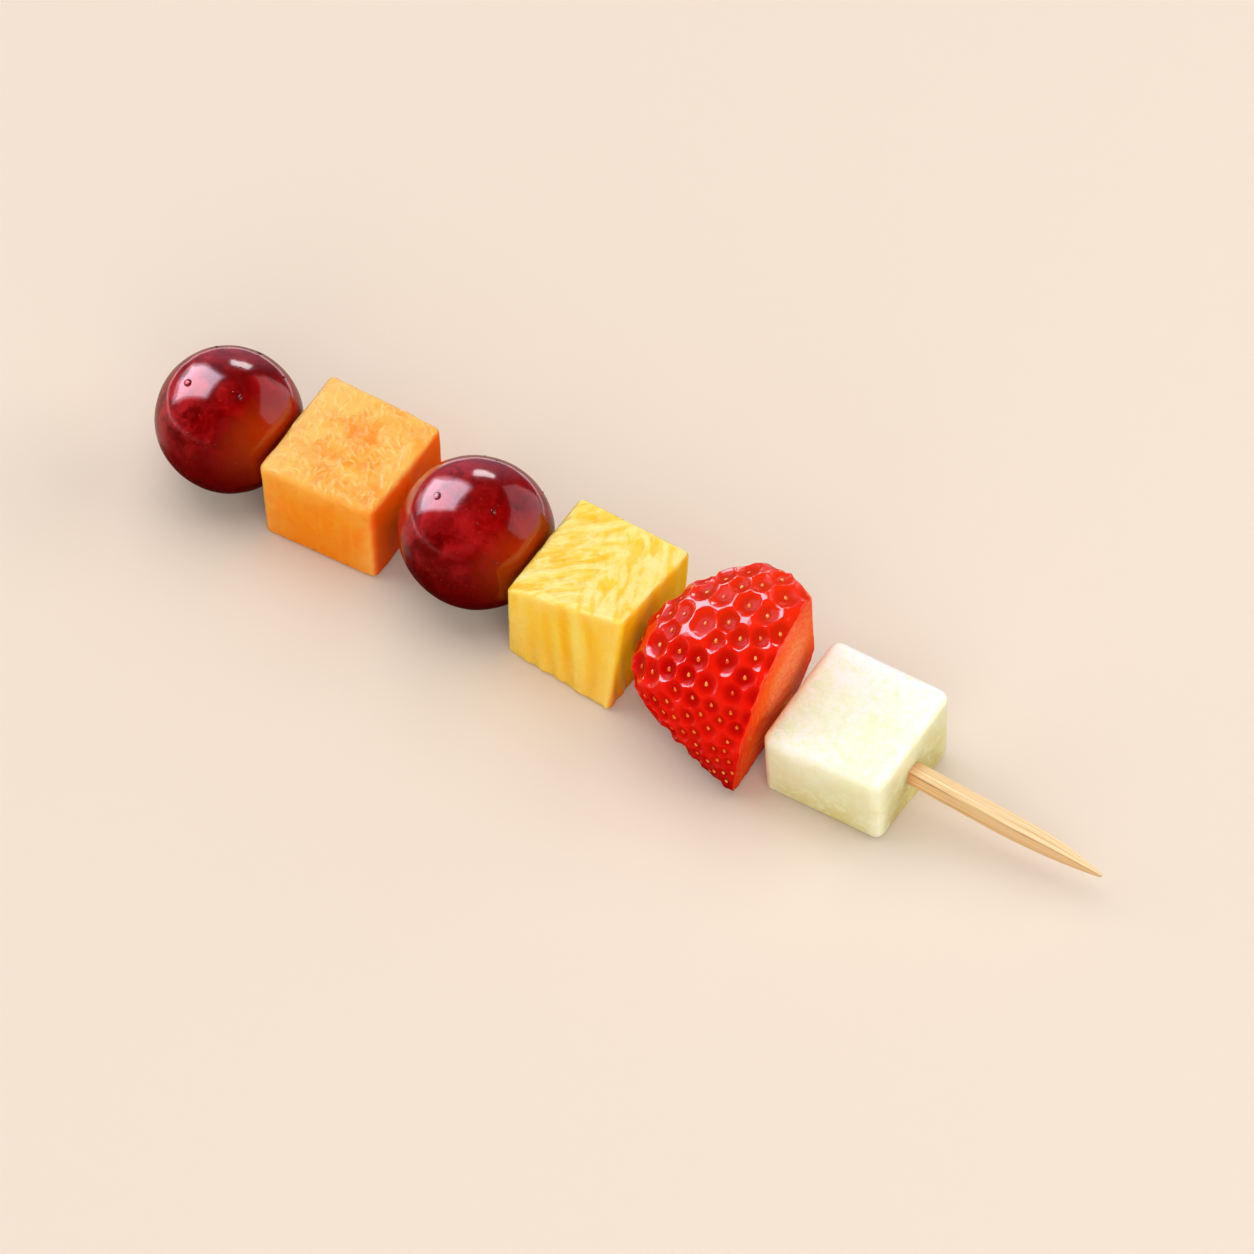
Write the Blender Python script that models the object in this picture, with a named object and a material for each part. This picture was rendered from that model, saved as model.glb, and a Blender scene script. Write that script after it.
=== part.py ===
"""Fruit skewer: two red grapes, a cube of orange melon, a cube of pineapple, a sliced strawberry
and a cube of pale melon, threaded on a squared bamboo stick that lies on a table.

Metres. +X runs along the stick toward its point and +Z is up. The origin is on the table, on the
pineapple's base, straight under the stick.
"""

import math

import bmesh
import bpy
from mathutils import Matrix, Vector, noise

MM = 0.001

# Gaps and finish
GAP = 0.3 * MM              # clear space round the stick and between pieces that touch
OVERSHOOT = 4 * MM          # how far a cutter runs past what it cuts
MERGE = 1e-6                # points nearer than this are one point
NO_WALL = -1.0              # a wall far past a grape's free side
SHARP_ANGLE = math.radians(40)
ROUND_STEPS = 32            # facets round a grape or the strawberry
BLOCK_CUTS = 9              # loop cuts along each edge of a cut cube
ON_FACE = 0.999             # a coordinate past this, in a cube from -1 to 1, is on its face

# Bamboo stick: a 150 mm pick, split square, its point cut from longer facets below than above
STICK_LENGTH = 150 * MM
STICK_BLUNT_SIDE = 2.35 * MM
STICK_WIDE_SIDE = 2.7 * MM
STICK_TIP_SIDE = 0.35 * MM
STICK_POINT_LENGTH = 16 * MM
STICK_UPPER_FACET = 11 * MM
STICK_SQUARENESS = 6        # power of the section's superellipse
STICK_SECTION_POINTS = 24
STICK_POINT_CUTS = 8        # loop cuts along the point
STICK_TAPER_POWER = 0.85    # below 1 the facets bulge a little before the tip
STICK_TIP_X = 76.9 * MM
STICK_TIP_Z = 4.75 * MM
STICK_SLOPE = 0.0527        # how much the stick climbs toward its blunt end

# Grapes: centre, length along the stick, and width
END_GRAPE_CENTRE = Vector((-62.8, -2.0, 10.55)) * MM
END_GRAPE_RADII = Vector((10.6, 10.5, 10.5)) * MM
MIDDLE_GRAPE_CENTRE = Vector((-21.7, -0.25, 10.75)) * MM
MIDDLE_GRAPE_RADII = Vector((11.0, 10.7, 10.7)) * MM

# Cut cubes, in mm: where the four side faces stand halfway along and halfway up, and how high the
# top's middle is. Turns, leans and rises say how far the knife strayed from square, end to end
CANTALOUPE_CUTS = {
    "left": -53.0,
    "right": -34.0,
    "front": -8.9,
    "back": 10.1,
    "height": 15.0,
    "left_turn": -1.1,
    "right_turn": -0.5,
    "front_turn": 1.3,
    "back_rise": 0.9,
}
PINEAPPLE_CUTS = {
    "left": -11.7,
    "right": 6.7,
    "front": -8.9,
    "back": 9.7,
    "height": 16.3,
    "right_turn": 0.4,
    "end_lean": 0.6,
    "front_lean": 1.0,
    "front_twist": 3.3,
    "right_rise": 1.8,
    "top_twist": -1.8,
}
HONEYDEW_CUTS = {
    "left": 29.8,
    "right": 48.4,
    "front": -9.2,
    "back": 9.9,
    "height": 12.7,
    "right_turn": 0.3,
    "front_turn": 0.8,
    "end_lean": -0.6,
    "front_lean": -0.4,
    "right_rise": 0.6,
    "back_rise": 1.5,
}
CANTALOUPE_EDGE = 0.9 * MM
PINEAPPLE_EDGE = 0.8 * MM
HONEYDEW_EDGE = 1.3 * MM
KNIFE_WAVE = 0.16 * MM      # unevenness that the knife leaves on a melon's faces
KNIFE_WAVE_LENGTH = 7 * MM
FIBRE_WAVE = 0.3 * MM       # unevenness of the pineapple's fibrous faces
FIBRE_WAVE_LENGTH = 3.5 * MM
WAVE_SINK = 0.35            # keeps the unevenness mostly below the cut face
FLAT_FOOT = 3 * MM          # the unevenness fades out over this height, above a flat base

# Strawberry: lies point down and forward, with one side sliced off along its length and a second
# slice that took the hull away behind
BERRY_POINT = Vector((30.55, -13.0, 0.35)) * MM
BERRY_LENGTH = 33.0 * MM
BERRY_HALF_WIDTH = 17.8 * MM
BERRY_UPPER_DEPTH = 0.55    # depth over half width on the side that faces up and forward
BERRY_LOWER_DEPTH = 0.70    # and on the side that faces down and back
BERRY_WIDEST = 0.50         # share of the length, from the point, where it is widest
BERRY_POINT_POWER = 1.41    # fullness between the point and the widest place
BERRY_SHOULDER_POWER = 2.37  # fullness between the widest place and the crown
BERRY_CROWN_RADIUS = 4.1 * MM
BERRY_CROWN_POWER = 14      # how abruptly the crown closes
BERRY_RINGS = 18
BERRY_TURN = -0.497         # radians, the point swung toward the stick's own point
BERRY_RISE = 0.769          # radians, the crown lifted from the table
SIDE_SLICE_PLACE = Vector((27.47, 0.0, 8.0)) * MM
SIDE_SLICE_TURN = -0.05     # how much the side slice moves in x for each metre in y
SIDE_SLICE_LEAN = 0.063     # and for each metre in z
HULL_SLICE_PLACE = Vector((27.0, 8.0, 15.9)) * MM
HULL_SLICE_TURN = 0.5       # radians, the hull slice's face swung from +Y toward +X
HULL_SLICE_TILT = 0.17      # radians, and tipped upward
SLICE_CUTTER_SIZE = 80 * MM


def clear_scene():
    """Empty the scene of whatever it starts with."""
    for obj in list(bpy.data.objects):
        bpy.data.objects.remove(obj, do_unlink=True)


def new_collection(name):
    """A collection in the scene."""
    made = bpy.data.collections.new(name)
    bpy.context.scene.collection.children.link(made)
    return made


def new_material(name, colour, roughness):
    """A plain non-metal finish."""
    made = bpy.data.materials.new(name)
    made.use_nodes = True
    shader = made.node_tree.nodes["Principled BSDF"]
    shader.inputs["Base Color"].default_value = (*colour, 1.0)
    shader.inputs["Roughness"].default_value = roughness
    shader.inputs["Metallic"].default_value = 0.0
    return made


def new_object(name, bm, collection, material=None):
    """An object from a bmesh, shaded smooth between its sharp edges."""
    mesh = bpy.data.meshes.new(name)
    bmesh.ops.recalc_face_normals(bm, faces=bm.faces)
    bm.to_mesh(mesh)
    bm.free()
    mesh.shade_smooth()
    mesh.set_sharp_from_angle(angle=SHARP_ANGLE)
    made = bpy.data.objects.new(name, mesh)
    collection.objects.link(made)
    if material:
        mesh.materials.append(material)
    return made


def new_cutter(name, bm, collection):
    """A cutter, which isn't a piece of the object."""
    made = new_object(name, bm, collection)
    made.hide_render = True
    made.display_type = "WIRE"
    return made


def cut(obj, cutter):
    """Take the cutter's shape out of the object."""
    modifier = obj.modifiers.new(cutter.name, "BOOLEAN")
    modifier.operation = "DIFFERENCE"
    modifier.solver = "EXACT"
    modifier.object = cutter


def stick_placing():
    """The stick's own frame: its point at the origin, its length along -X, tipped to its slope."""
    turn = Matrix.Rotation(math.atan(STICK_SLOPE), 4, "Y")
    return Matrix.Translation((STICK_TIP_X, 0.0, STICK_TIP_Z)) @ turn


def stick_half_side(from_tip, far_facet):
    """Half the stick's side at this distance from its tip, on the far or the near facets."""
    full = STICK_WIDE_SIDE + (STICK_BLUNT_SIDE - STICK_WIDE_SIDE) * from_tip / STICK_LENGTH
    facet_length = STICK_UPPER_FACET if far_facet else STICK_POINT_LENGTH
    share = min(max(from_tip / facet_length, 0.0), 1.0)
    taper = math.sin(share * math.pi / 2) ** STICK_TAPER_POWER
    return (STICK_TIP_SIDE + (full - STICK_TIP_SIDE) * taper) / 2


def squared_bar(length, cuts):
    """A cylinder of radius 1 along -X from the origin, cut across at the given distances."""
    bm = bmesh.new()
    lay = Matrix.Translation((-length / 2, 0.0, 0.0)) @ Matrix.Rotation(math.pi / 2, 4, "Y")
    bmesh.ops.create_cone(
        bm,
        cap_ends=True,
        segments=STICK_SECTION_POINTS,
        radius1=1.0,
        radius2=1.0,
        depth=length,
        matrix=lay,
    )
    for distance in cuts:
        bmesh.ops.bisect_plane(
            bm,
            geom=bm.verts[:] + bm.edges[:] + bm.faces[:],
            dist=MERGE,
            plane_co=(-distance, 0.0, 0.0),
            plane_no=(1.0, 0.0, 0.0),
        )
    return bm


def square_off(y, z):
    """Moves a point of a unit circle out to a square with rounded corners."""
    power = STICK_SQUARENESS
    reach = (abs(y) ** power + abs(z) ** power) ** (-1.0 / power)
    return y * reach, z * reach


def make_stick(collection, material):
    """The bamboo stick, blunt at one end and cut to a point at the other."""
    step = STICK_POINT_LENGTH / STICK_POINT_CUTS
    bm = squared_bar(STICK_LENGTH, [step * count for count in range(1, STICK_POINT_CUTS + 1)])
    for vert in bm.verts:
        from_tip = -vert.co.x
        y, z = square_off(vert.co.y, vert.co.z)
        vert.co.y = y * stick_half_side(from_tip, y > 0)
        vert.co.z = z * stick_half_side(from_tip, z > 0)
    stick = new_object("bamboo_stick", bm, collection, material)
    stick.matrix_world = stick_placing()
    return stick


def make_bore_cutter(collection):
    """The hole that the stick fills, a gap wider all round."""
    bm = squared_bar(STICK_LENGTH + OVERSHOOT, [])
    half = STICK_WIDE_SIDE / 2 + GAP
    for vert in bm.verts:
        y, z = square_off(vert.co.y, vert.co.z)
        vert.co.y = y * half
        vert.co.z = z * half
    bore = new_cutter("bore", bm, collection)
    bore.matrix_world = stick_placing()
    return bore


def make_grape(name, centre, radii, left_wall, right_wall, collection, material):
    """A grape, pressed flat where it meets the cut faces beside it."""
    bm = bmesh.new()
    turn = Matrix.Rotation(math.pi / 2, 4, "Y")
    bmesh.ops.create_uvsphere(
        bm, u_segments=ROUND_STEPS, v_segments=ROUND_STEPS // 2 + 2, radius=1.0, matrix=turn
    )
    for vert in bm.verts:
        x = vert.co.x * radii.x + centre.x
        vert.co = Vector(
            (
                min(max(x, left_wall), right_wall) - centre.x,
                vert.co.y * radii.y,
                vert.co.z * radii.z,
            )
        )
    grape = new_object(name, bm, collection, material)
    grape.location = centre
    return grape


def graded(t):
    """Moves evenly spaced cuts from -1 to 1 closer together near the two ends."""
    return math.sin(t * math.pi / 2)


def rounded_corner(point, half, radius):
    """Pulls a point on a box's surface in onto its rounded edges."""
    inner = Vector([max(min(p, h - radius), radius - h) for p, h in zip(point, half)])
    out = point - inner
    if out.length == 0:
        return point
    return inner + out.normalized() * radius


def cut_place(u, v, w, cuts):
    """The place in a cut cube of a point whose coordinates run from -1 to 1, right, back and up."""
    left = cuts["left"] + cuts.get("left_turn", 0.0) * v / 2
    right = cuts["right"] + cuts.get("right_turn", 0.0) * v / 2
    lean = cuts.get("front_lean", 0.0) * w / 2
    turn = (cuts.get("front_turn", 0.0) + cuts.get("front_twist", 0.0) * w / 2) * u / 2
    front = cuts["front"] + lean + turn
    rise = cuts.get("right_rise", 0.0) * u + cuts.get("back_rise", 0.0) * v
    top = cuts["height"] + (rise + cuts.get("top_twist", 0.0) * u * v) / 2
    x = left + (right - left) * (1 + u) / 2 + cuts.get("end_lean", 0.0) * w / 2
    y = front + (cuts["back"] - front) * (1 + v) / 2
    return Vector((x, y, top * (1 + w) / 2)) * MM


def make_block(name, cuts, edge_radius, wave, wave_length, collection, material):
    """A cube of fruit as a knife leaves it: corners out of square, soft edges, uneven faces."""
    size = Vector((cuts["right"] - cuts["left"], cuts["back"] - cuts["front"], cuts["height"]))
    half = size * MM / 2
    bm = bmesh.new()
    bmesh.ops.create_cube(bm, size=2.0)
    bmesh.ops.subdivide_edges(bm, edges=bm.edges[:], cuts=BLOCK_CUTS, use_grid_fill=True)
    for vert in bm.verts:
        spread = Vector([graded(t) for t in vert.co])
        outward = Vector([t if abs(t) > ON_FACE else 0.0 for t in vert.co]).normalized()
        point = rounded_corner(spread * half, half, edge_radius)
        place = cut_place(*[p / h for p, h in zip(point, half)], cuts)
        lift = min(place.z / FLAT_FOOT, 1.0)
        bump = noise.noise(place / wave_length) - WAVE_SINK
        outward.z = max(outward.z, 0.0)
        vert.co = place + outward * wave * bump * lift
    return new_object(name, bm, collection, material)


def berry_radius(share):
    """The strawberry's half width at a share of its length from the point."""
    if share < BERRY_WIDEST:
        return BERRY_HALF_WIDTH * (1 - (1 - share / BERRY_WIDEST) ** BERRY_POINT_POWER)
    past = (share - BERRY_WIDEST) / (1 - BERRY_WIDEST)
    narrowing = BERRY_HALF_WIDTH - BERRY_CROWN_RADIUS
    radius = BERRY_HALF_WIDTH - narrowing * past**BERRY_SHOULDER_POWER
    return radius * math.sqrt(1 - past**BERRY_CROWN_POWER)


def berry_depth(y, radius):
    """Depth over half width at a place on the round profile, fuller toward +Y."""
    if radius == 0:
        return 1.0
    middle = (BERRY_LOWER_DEPTH + BERRY_UPPER_DEPTH) / 2
    return middle + (BERRY_LOWER_DEPTH - BERRY_UPPER_DEPTH) / 2 * y / radius


def berry_placing():
    """The strawberry's own frame: its point at the origin, its length along +Z."""
    level = math.cos(BERRY_RISE)
    axis = Vector(
        (math.sin(BERRY_TURN) * level, math.cos(BERRY_TURN) * level, math.sin(BERRY_RISE))
    )
    across = Vector((1.0, 0.0, 0.0))
    across = (across - axis * axis.x).normalized()
    turn = Matrix((across, axis.cross(across), axis)).transposed().to_4x4()
    return Matrix.Translation(BERRY_POINT) @ turn


def make_strawberry(collection, material):
    """The whole berry turned from its profile and flattened, before it is sliced."""
    bm = bmesh.new()
    last = None
    for ring in range(BERRY_RINGS + 1):
        share = (1 + math.cos(math.pi * ring / BERRY_RINGS)) / 2
        vert = bm.verts.new((max(berry_radius(share), 0.0), 0.0, share * BERRY_LENGTH))
        if last:
            bm.edges.new((last, vert))
        last = vert
    bmesh.ops.spin(
        bm,
        geom=bm.verts[:] + bm.edges[:],
        axis=(0.0, 0.0, 1.0),
        cent=(0.0, 0.0, 0.0),
        angle=2 * math.pi,
        steps=ROUND_STEPS,
        use_merge=True,
    )
    bmesh.ops.remove_doubles(bm, verts=bm.verts[:], dist=MERGE)
    for vert in bm.verts:
        vert.co.y *= berry_depth(vert.co.y, math.hypot(vert.co.x, vert.co.y))
    berry = new_object("strawberry", bm, collection, material)
    berry.matrix_world = berry_placing()
    return berry


def make_slice_cutter(name, place, normal, collection):
    """A cube beyond a knife's cut, with one face through place, that reaches along normal."""
    turn = normal.to_track_quat("X", "Z").to_matrix().to_4x4()
    shift = Matrix.Translation((SLICE_CUTTER_SIZE / 2, 0.0, 0.0))
    bm = bmesh.new()
    bmesh.ops.create_cube(bm, size=SLICE_CUTTER_SIZE, matrix=shift)
    cutter = new_cutter(name, bm, collection)
    cutter.matrix_world = Matrix.Translation(place) @ turn
    return cutter


def slice_strawberry(berry, collection):
    """Takes the side and the hull off the strawberry."""
    side = Vector((1.0, -SIDE_SLICE_TURN, -SIDE_SLICE_LEAN)).normalized()
    level = math.cos(HULL_SLICE_TILT)
    hull = Vector(
        (
            math.sin(HULL_SLICE_TURN) * level,
            math.cos(HULL_SLICE_TURN) * level,
            math.sin(HULL_SLICE_TILT),
        )
    )
    cut(berry, make_slice_cutter("side_slice", SIDE_SLICE_PLACE, side, collection))
    cut(berry, make_slice_cutter("hull_slice", HULL_SLICE_PLACE, hull, collection))


def build():
    """Makes every piece, then bores the fruit for the stick."""
    clear_scene()
    pieces = new_collection("fruit_skewer")
    cutters = new_collection("cutters")

    bamboo = new_material("bamboo", (0.72, 0.48, 0.22), 0.55)
    grape_skin = new_material("grape_skin", (0.20, 0.012, 0.025), 0.12)
    orange_flesh = new_material("cantaloupe_flesh", (0.90, 0.38, 0.09), 0.35)
    yellow_flesh = new_material("pineapple_flesh", (0.88, 0.58, 0.06), 0.38)
    red_skin = new_material("strawberry_skin", (0.66, 0.012, 0.008), 0.18)
    pale_flesh = new_material("honeydew_flesh", (0.78, 0.80, 0.55), 0.35)

    make_stick(pieces, bamboo)
    cantaloupe_left = CANTALOUPE_CUTS["left"] * MM
    cantaloupe_right = (CANTALOUPE_CUTS["right"] - CANTALOUPE_CUTS["right_turn"] / 2) * MM
    pineapple_left = PINEAPPLE_CUTS["left"] * MM
    fruit = [
        make_grape(
            "end_grape",
            END_GRAPE_CENTRE,
            END_GRAPE_RADII,
            NO_WALL,
            cantaloupe_left - 2 * GAP,
            pieces,
            grape_skin,
        ),
        make_block(
            "cantaloupe_cube",
            CANTALOUPE_CUTS,
            CANTALOUPE_EDGE,
            KNIFE_WAVE,
            KNIFE_WAVE_LENGTH,
            pieces,
            orange_flesh,
        ),
        make_grape(
            "middle_grape",
            MIDDLE_GRAPE_CENTRE,
            MIDDLE_GRAPE_RADII,
            cantaloupe_right + GAP,
            pineapple_left - 1.5 * GAP,
            pieces,
            grape_skin,
        ),
        make_block(
            "pineapple_cube",
            PINEAPPLE_CUTS,
            PINEAPPLE_EDGE,
            FIBRE_WAVE,
            FIBRE_WAVE_LENGTH,
            pieces,
            yellow_flesh,
        ),
        make_strawberry(pieces, red_skin),
        make_block(
            "honeydew_cube",
            HONEYDEW_CUTS,
            HONEYDEW_EDGE,
            KNIFE_WAVE,
            KNIFE_WAVE_LENGTH,
            pieces,
            pale_flesh,
        ),
    ]
    slice_strawberry(bpy.data.objects["strawberry"], cutters)
    bore = make_bore_cutter(cutters)
    for piece in fruit:
        cut(piece, bore)


build()
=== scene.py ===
"""Looks of a fruit skewer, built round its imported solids.

Two red grapes, a cube of orange melon, one of pineapple, a sliced strawberry and a cube of pale
melon on a squared bamboo stick. Metres: +X runs along the stick toward its point, +Z is up.
"""

import bisect
import itertools
import math
import random

import bmesh
import bpy
from mathutils import Matrix, Vector, kdtree, noise


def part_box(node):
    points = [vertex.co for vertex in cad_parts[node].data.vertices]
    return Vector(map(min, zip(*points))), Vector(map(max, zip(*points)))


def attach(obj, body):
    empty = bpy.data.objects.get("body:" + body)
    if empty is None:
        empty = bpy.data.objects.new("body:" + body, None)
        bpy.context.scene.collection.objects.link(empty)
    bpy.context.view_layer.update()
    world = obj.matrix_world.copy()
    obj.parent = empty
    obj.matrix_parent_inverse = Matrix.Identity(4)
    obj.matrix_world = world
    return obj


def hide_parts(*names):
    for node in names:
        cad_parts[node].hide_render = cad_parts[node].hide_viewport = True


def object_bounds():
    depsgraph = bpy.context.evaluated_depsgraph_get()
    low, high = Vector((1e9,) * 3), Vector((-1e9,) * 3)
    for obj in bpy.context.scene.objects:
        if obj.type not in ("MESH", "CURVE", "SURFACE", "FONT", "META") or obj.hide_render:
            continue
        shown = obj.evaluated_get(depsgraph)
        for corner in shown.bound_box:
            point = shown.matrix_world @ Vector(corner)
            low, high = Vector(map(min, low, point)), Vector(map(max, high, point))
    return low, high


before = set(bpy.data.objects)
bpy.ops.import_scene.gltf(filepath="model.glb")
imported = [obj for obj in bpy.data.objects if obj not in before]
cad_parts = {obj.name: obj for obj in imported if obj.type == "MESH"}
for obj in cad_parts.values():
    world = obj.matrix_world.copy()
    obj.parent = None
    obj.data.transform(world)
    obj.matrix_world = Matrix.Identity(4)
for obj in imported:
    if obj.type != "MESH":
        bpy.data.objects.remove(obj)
cad_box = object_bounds()

MM = 0.001
SEED = 7

# How finely each piece is divided
GRAPE_CUTS = 74
BLOCK_CUTS = 114
BERRY_CUTS = 127
STICK_SECTION_POINTS = 48
STICK_CUTS = 260

# Grapes
GRAPE_LENGTH_SHARE = 1.015   # half length over half width
GRAPE_PRESS = 1.0 * MM       # how softly a grape rounds into its pressed flat
GRAPE_DENT = 0.010           # share of the radius that its broad unevenness takes away
GRAPE_RIPPLE = 0.03 * MM
GRAPE_LEAN = 0.6 * MM        # how much farther the middle grape bulges toward the cube on its left
GRAPE_SPREAD = 0.25 * MM     # how much farther each grape spreads against the cube on its right
PUNCTURE_DEPTH = 0.55 * MM   # how far the end grape's free side is drawn in round the stick
PUNCTURE_REACH = 1.9 * MM
BLOOM_AND_SHEEN_WAY = Vector((-78, -40, 32))   # per metre: the waxy bloom, with a painted sheen, shows most up on the left front, where the light falls
SHADE_WAY = Vector((-10, 24, 42))    # per metre: painted shade, darkest low on the right front

# Where light from a cube beside a grape glows in it: the way out from its middle, and how strongly
END_GRAPE_GLOWS = [((0.92, -0.34, 0.20), 0.9)]
MIDDLE_GRAPE_GLOWS = [((0.94, -0.32, 0.10), 0.9), ((-0.98, 0.0, 0.20), 0.6)]

# Cut cubes: the rounding of each solid's edges, and of the softer edges here
CANTALOUPE_EDGE = (0.9 * MM, 1.25 * MM)
PINEAPPLE_EDGE = (0.8 * MM, 1.15 * MM)
HONEYDEW_EDGE = (1.3 * MM, 1.7 * MM)
EDGE_HIGHLIGHT = 2.2 * MM         # how far the painted highlight along a cube's edges reaches
FLAT_FOOT = 2 * MM           # under this height a cube's sides never reach below its base

# How far flesh stands up round the stick, or below 0 sinks, on each cube's left and right face
CANTALOUPE_COLLARS = (0.3 * MM, 1.6 * MM)
PINEAPPLE_COLLARS = (0.0, 0.0)
HONEYDEW_COLLARS = (0.6 * MM, -0.25 * MM)
COLLAR_REACH = 2.7 * MM

# Strands on the tops: how many, their shortest and longest, and how much they curl per millimetre
CANTALOUPE_STRANDS = (250, (1.0 * MM, 2.8 * MM), 0.40)
CANTALOUPE_STRAND_WIDTH = 0.17 * MM
CANTALOUPE_STRAND_WAY = 2.1  # radians from +X
PINEAPPLE_STRANDS = (170, (1.5 * MM, 4.5 * MM), 0.08)
PINEAPPLE_STRAND_WIDTH = 0.20 * MM
STRAND_STEP = 0.1 * MM

CANTALOUPE_PATCH = (0.0, 0.25, 1.0)   # where its ripest flesh shows, in shares of its half sizes
PINEAPPLE_CORE_INSET = (0.5 * MM, 3.0 * MM)   # its fibres fan out from here, off its front right corner
PINEAPPLE_GRAINS = (math.radians(-40), math.radians(-110))   # how they lie on the left and on the right
PINEAPPLE_FIBRE = (4.4 * MM, 1.35 * MM, 4.4 * MM)

# Hollows in the pineapple's top, scattered along its fibres
HOLLOW_COUNT = 12
HOLLOW_SPACING = 3.6 * MM
HOLLOW_MARGIN = 2.0 * MM     # between their middles and the cube's sides
HOLLOW_LENGTHS = (1.0 * MM, 3.8 * MM)
HOLLOW_SLANT = math.radians(35)   # how they lie on the left, turning back toward the right
HOLLOW_TURN = math.radians(-60)

# Strawberry, in the solid's own proportions
BERRY_POINT = Vector((30.55, -13.0, 0.35)) * MM
BERRY_LENGTH = 33.0 * MM
BERRY_HALF_WIDTH = 17.8 * MM
BERRY_UPPER_DEPTH = 0.55
BERRY_LOWER_DEPTH = 0.70
BERRY_WIDEST = 0.50
BERRY_POINT_POWER = 1.41
BERRY_SHOULDER_POWER = 2.37
BERRY_CROWN_RADIUS = 4.1 * MM
BERRY_CROWN_POWER = 14
BERRY_TURN = -0.497
BERRY_RISE = 0.769
SIDE_SLICE_PLACE = Vector((27.47, 0.0, 8.0)) * MM
SIDE_SLICE_TURN = -0.05
SIDE_SLICE_LEAN = 0.063
HULL_SLICE_PLACE = Vector((27.0, 8.0, 15.9)) * MM
HULL_SLICE_TURN = 0.5
HULL_SLICE_TILT = 0.17
SLICE_EDGE = 0.03            # softness of a cut edge, as a share of the distance from the berry's middle
BERRY_MIDDLE = Vector((19.0, 0.5, 9.5)) * MM
CUT_FADE = (0.1 * MM, 0.9 * MM)   # depths under the skin between which a cut face takes over from it
CUT_ROUGHNESS = 0.06 * MM
CUT_SWELL = 1.0 * MM         # how far the cut face bulges where the stick comes through
CUT_SWELL_REACH = (4.5 * MM, 3.5 * MM)   # across and up
CUT_DEEPEST = 10 * MM        # depth under the skin at which the flesh's colour stops changing
STREAK_LENGTH = 4 * MM
STREAK_SLANT = 0.7

# Strawberry seeds and pits
SEED_SPACING_BODY = 3.2 * MM
SEED_SPACING_POINT = 1.7 * MM
SEED_SPACING_CHANGE = (0.10, 0.58)   # shares of the berry's length between which it widens
SEED_TRIES = 7000
SEED_CLOSEST = (1.0, 0.80)   # shares of the spacing that a seed keeps clear, from the first try to the last
PIT_DEPTH = 0.72 * MM        # of the deepest
PIT_DEPTH_SHARE = 0.40       # of its radius, in a smaller pit
PIT_NEIGHBOURS = 5           # how many near seeds set the width of the pit round one
PIT_WIDTH = 1.12             # a pit's width over its seed's distance from those neighbours
PIT_CURVE = 2.8              # how its bowl steepens toward its rim
PIT_CREST = 0.14             # rounding of the crest where two pits meet, as a share of the depth
PIT_RIM = 0.14               # and of the rim where a pit meets plain skin
PITS_MEETING = 4
SEED_LENGTH = 0.72 * MM
SEED_WIDTH = 0.48 * MM
SEED_THICKNESS = 0.36 * MM
SEED_LIFT = 0.06 * MM        # how far a seed's middle stands off its pit's floor
UNCUT = 0.995                # a seed stays where more than this share of the berry is left under it

# Stick
STICK_BLUNT_SIDE = 2.35 * MM
STICK_WIDE_SIDE = 2.7 * MM
STICK_TIP_SIDE = 0.35 * MM
STICK_POINT_LENGTH = 16 * MM
STICK_UPPER_FACET = 11 * MM
STICK_SQUARENESS = 7
STICK_TWIST = math.radians(-9)
STICK_TAPER_POWER = 0.85
STICK_SHY = 0.01 * MM        # keeps its turned tip within the solid's length
STICK_FIBRE = 0.018          # share of the half side that its fibres wander over
RIND_ANGLE = math.radians(142)       # the brown line along its upper front edge
RIND_WANDER = math.radians(5)        # how far the line strays
RIND_REACH = 0.085
LOW_RIND_ANGLE = math.radians(-148)  # a fainter one along its lower front edge
LOW_RIND_REACH = 0.09
LOW_RIND_STRENGTH = 0.55
FRONT_FACE_ANGLES = (math.radians(128), math.radians(150))
JUICE_AND_SHADE_INSIDE = 2 * MM        # juice stains it, and painted shade darkens it between the pieces, from inside the last cube to just outside
JUICE_AND_SHADE_OUTSIDE = 1.5 * MM

# Water drops: each grape has one large drop high on its front left, one on its right, and small ones
LARGE_DROPS = ((Vector((-0.35, -0.35, 0.87)), 0.6 * MM), (Vector((0.40, -0.20, 0.90)), 0.42 * MM))
SMALL_DROPS = 18
SMALL_DROP_SIZES = (0.10 * MM, 0.28 * MM)
DROP_FINE_FROM = 0.3 * MM    # drops larger than this get a finer dome
DROP_FLATNESS = 0.75

# A tilted circle in the room's lower walls shows as a line round each grape, brightest behind
LINE_BRIGHT_WAY = Vector((-0.7, 0.714, 0.0))
ROOM_UP = Vector((-0.035, 0.218, 0.975))

# Camera
CAMERA_AIM = Vector((0.0, 4.15, 0.0)) * MM
CAMERA_AZIMUTH = math.radians(32.86)
CAMERA_ELEVATION = math.radians(52.0)
CAMERA_DISTANCE = 583.3 * MM
CAMERA_LENS = 120.57
CAMERA_SENSOR = 36.0
TABLE_HALF_SIZE = 3.0


# ---------------------------------------------------------------- shape helpers

def clamp(value, low=0.0, high=1.0):
    return min(max(value, low), high)


def smooth_step(value, low, high):
    share = clamp((value - low) / (high - low))
    return share * share * (3 - 2 * share)


def smooth_min(a, b, softness):
    """The smaller of two values, with a rounded change from one to the other."""
    near = max(softness - abs(a - b), 0.0) / softness
    return min(a, b) - near * near * softness / 4


def placed(name, data):
    """An object in the scene."""
    made = bpy.data.objects.new(name, data)
    bpy.context.scene.collection.objects.link(made)
    return made


def mesh_from(bm, name, material):
    mesh = bpy.data.meshes.new(name)
    bm.to_mesh(mesh)
    bm.free()
    mesh.materials.append(material)
    return mesh


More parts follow.
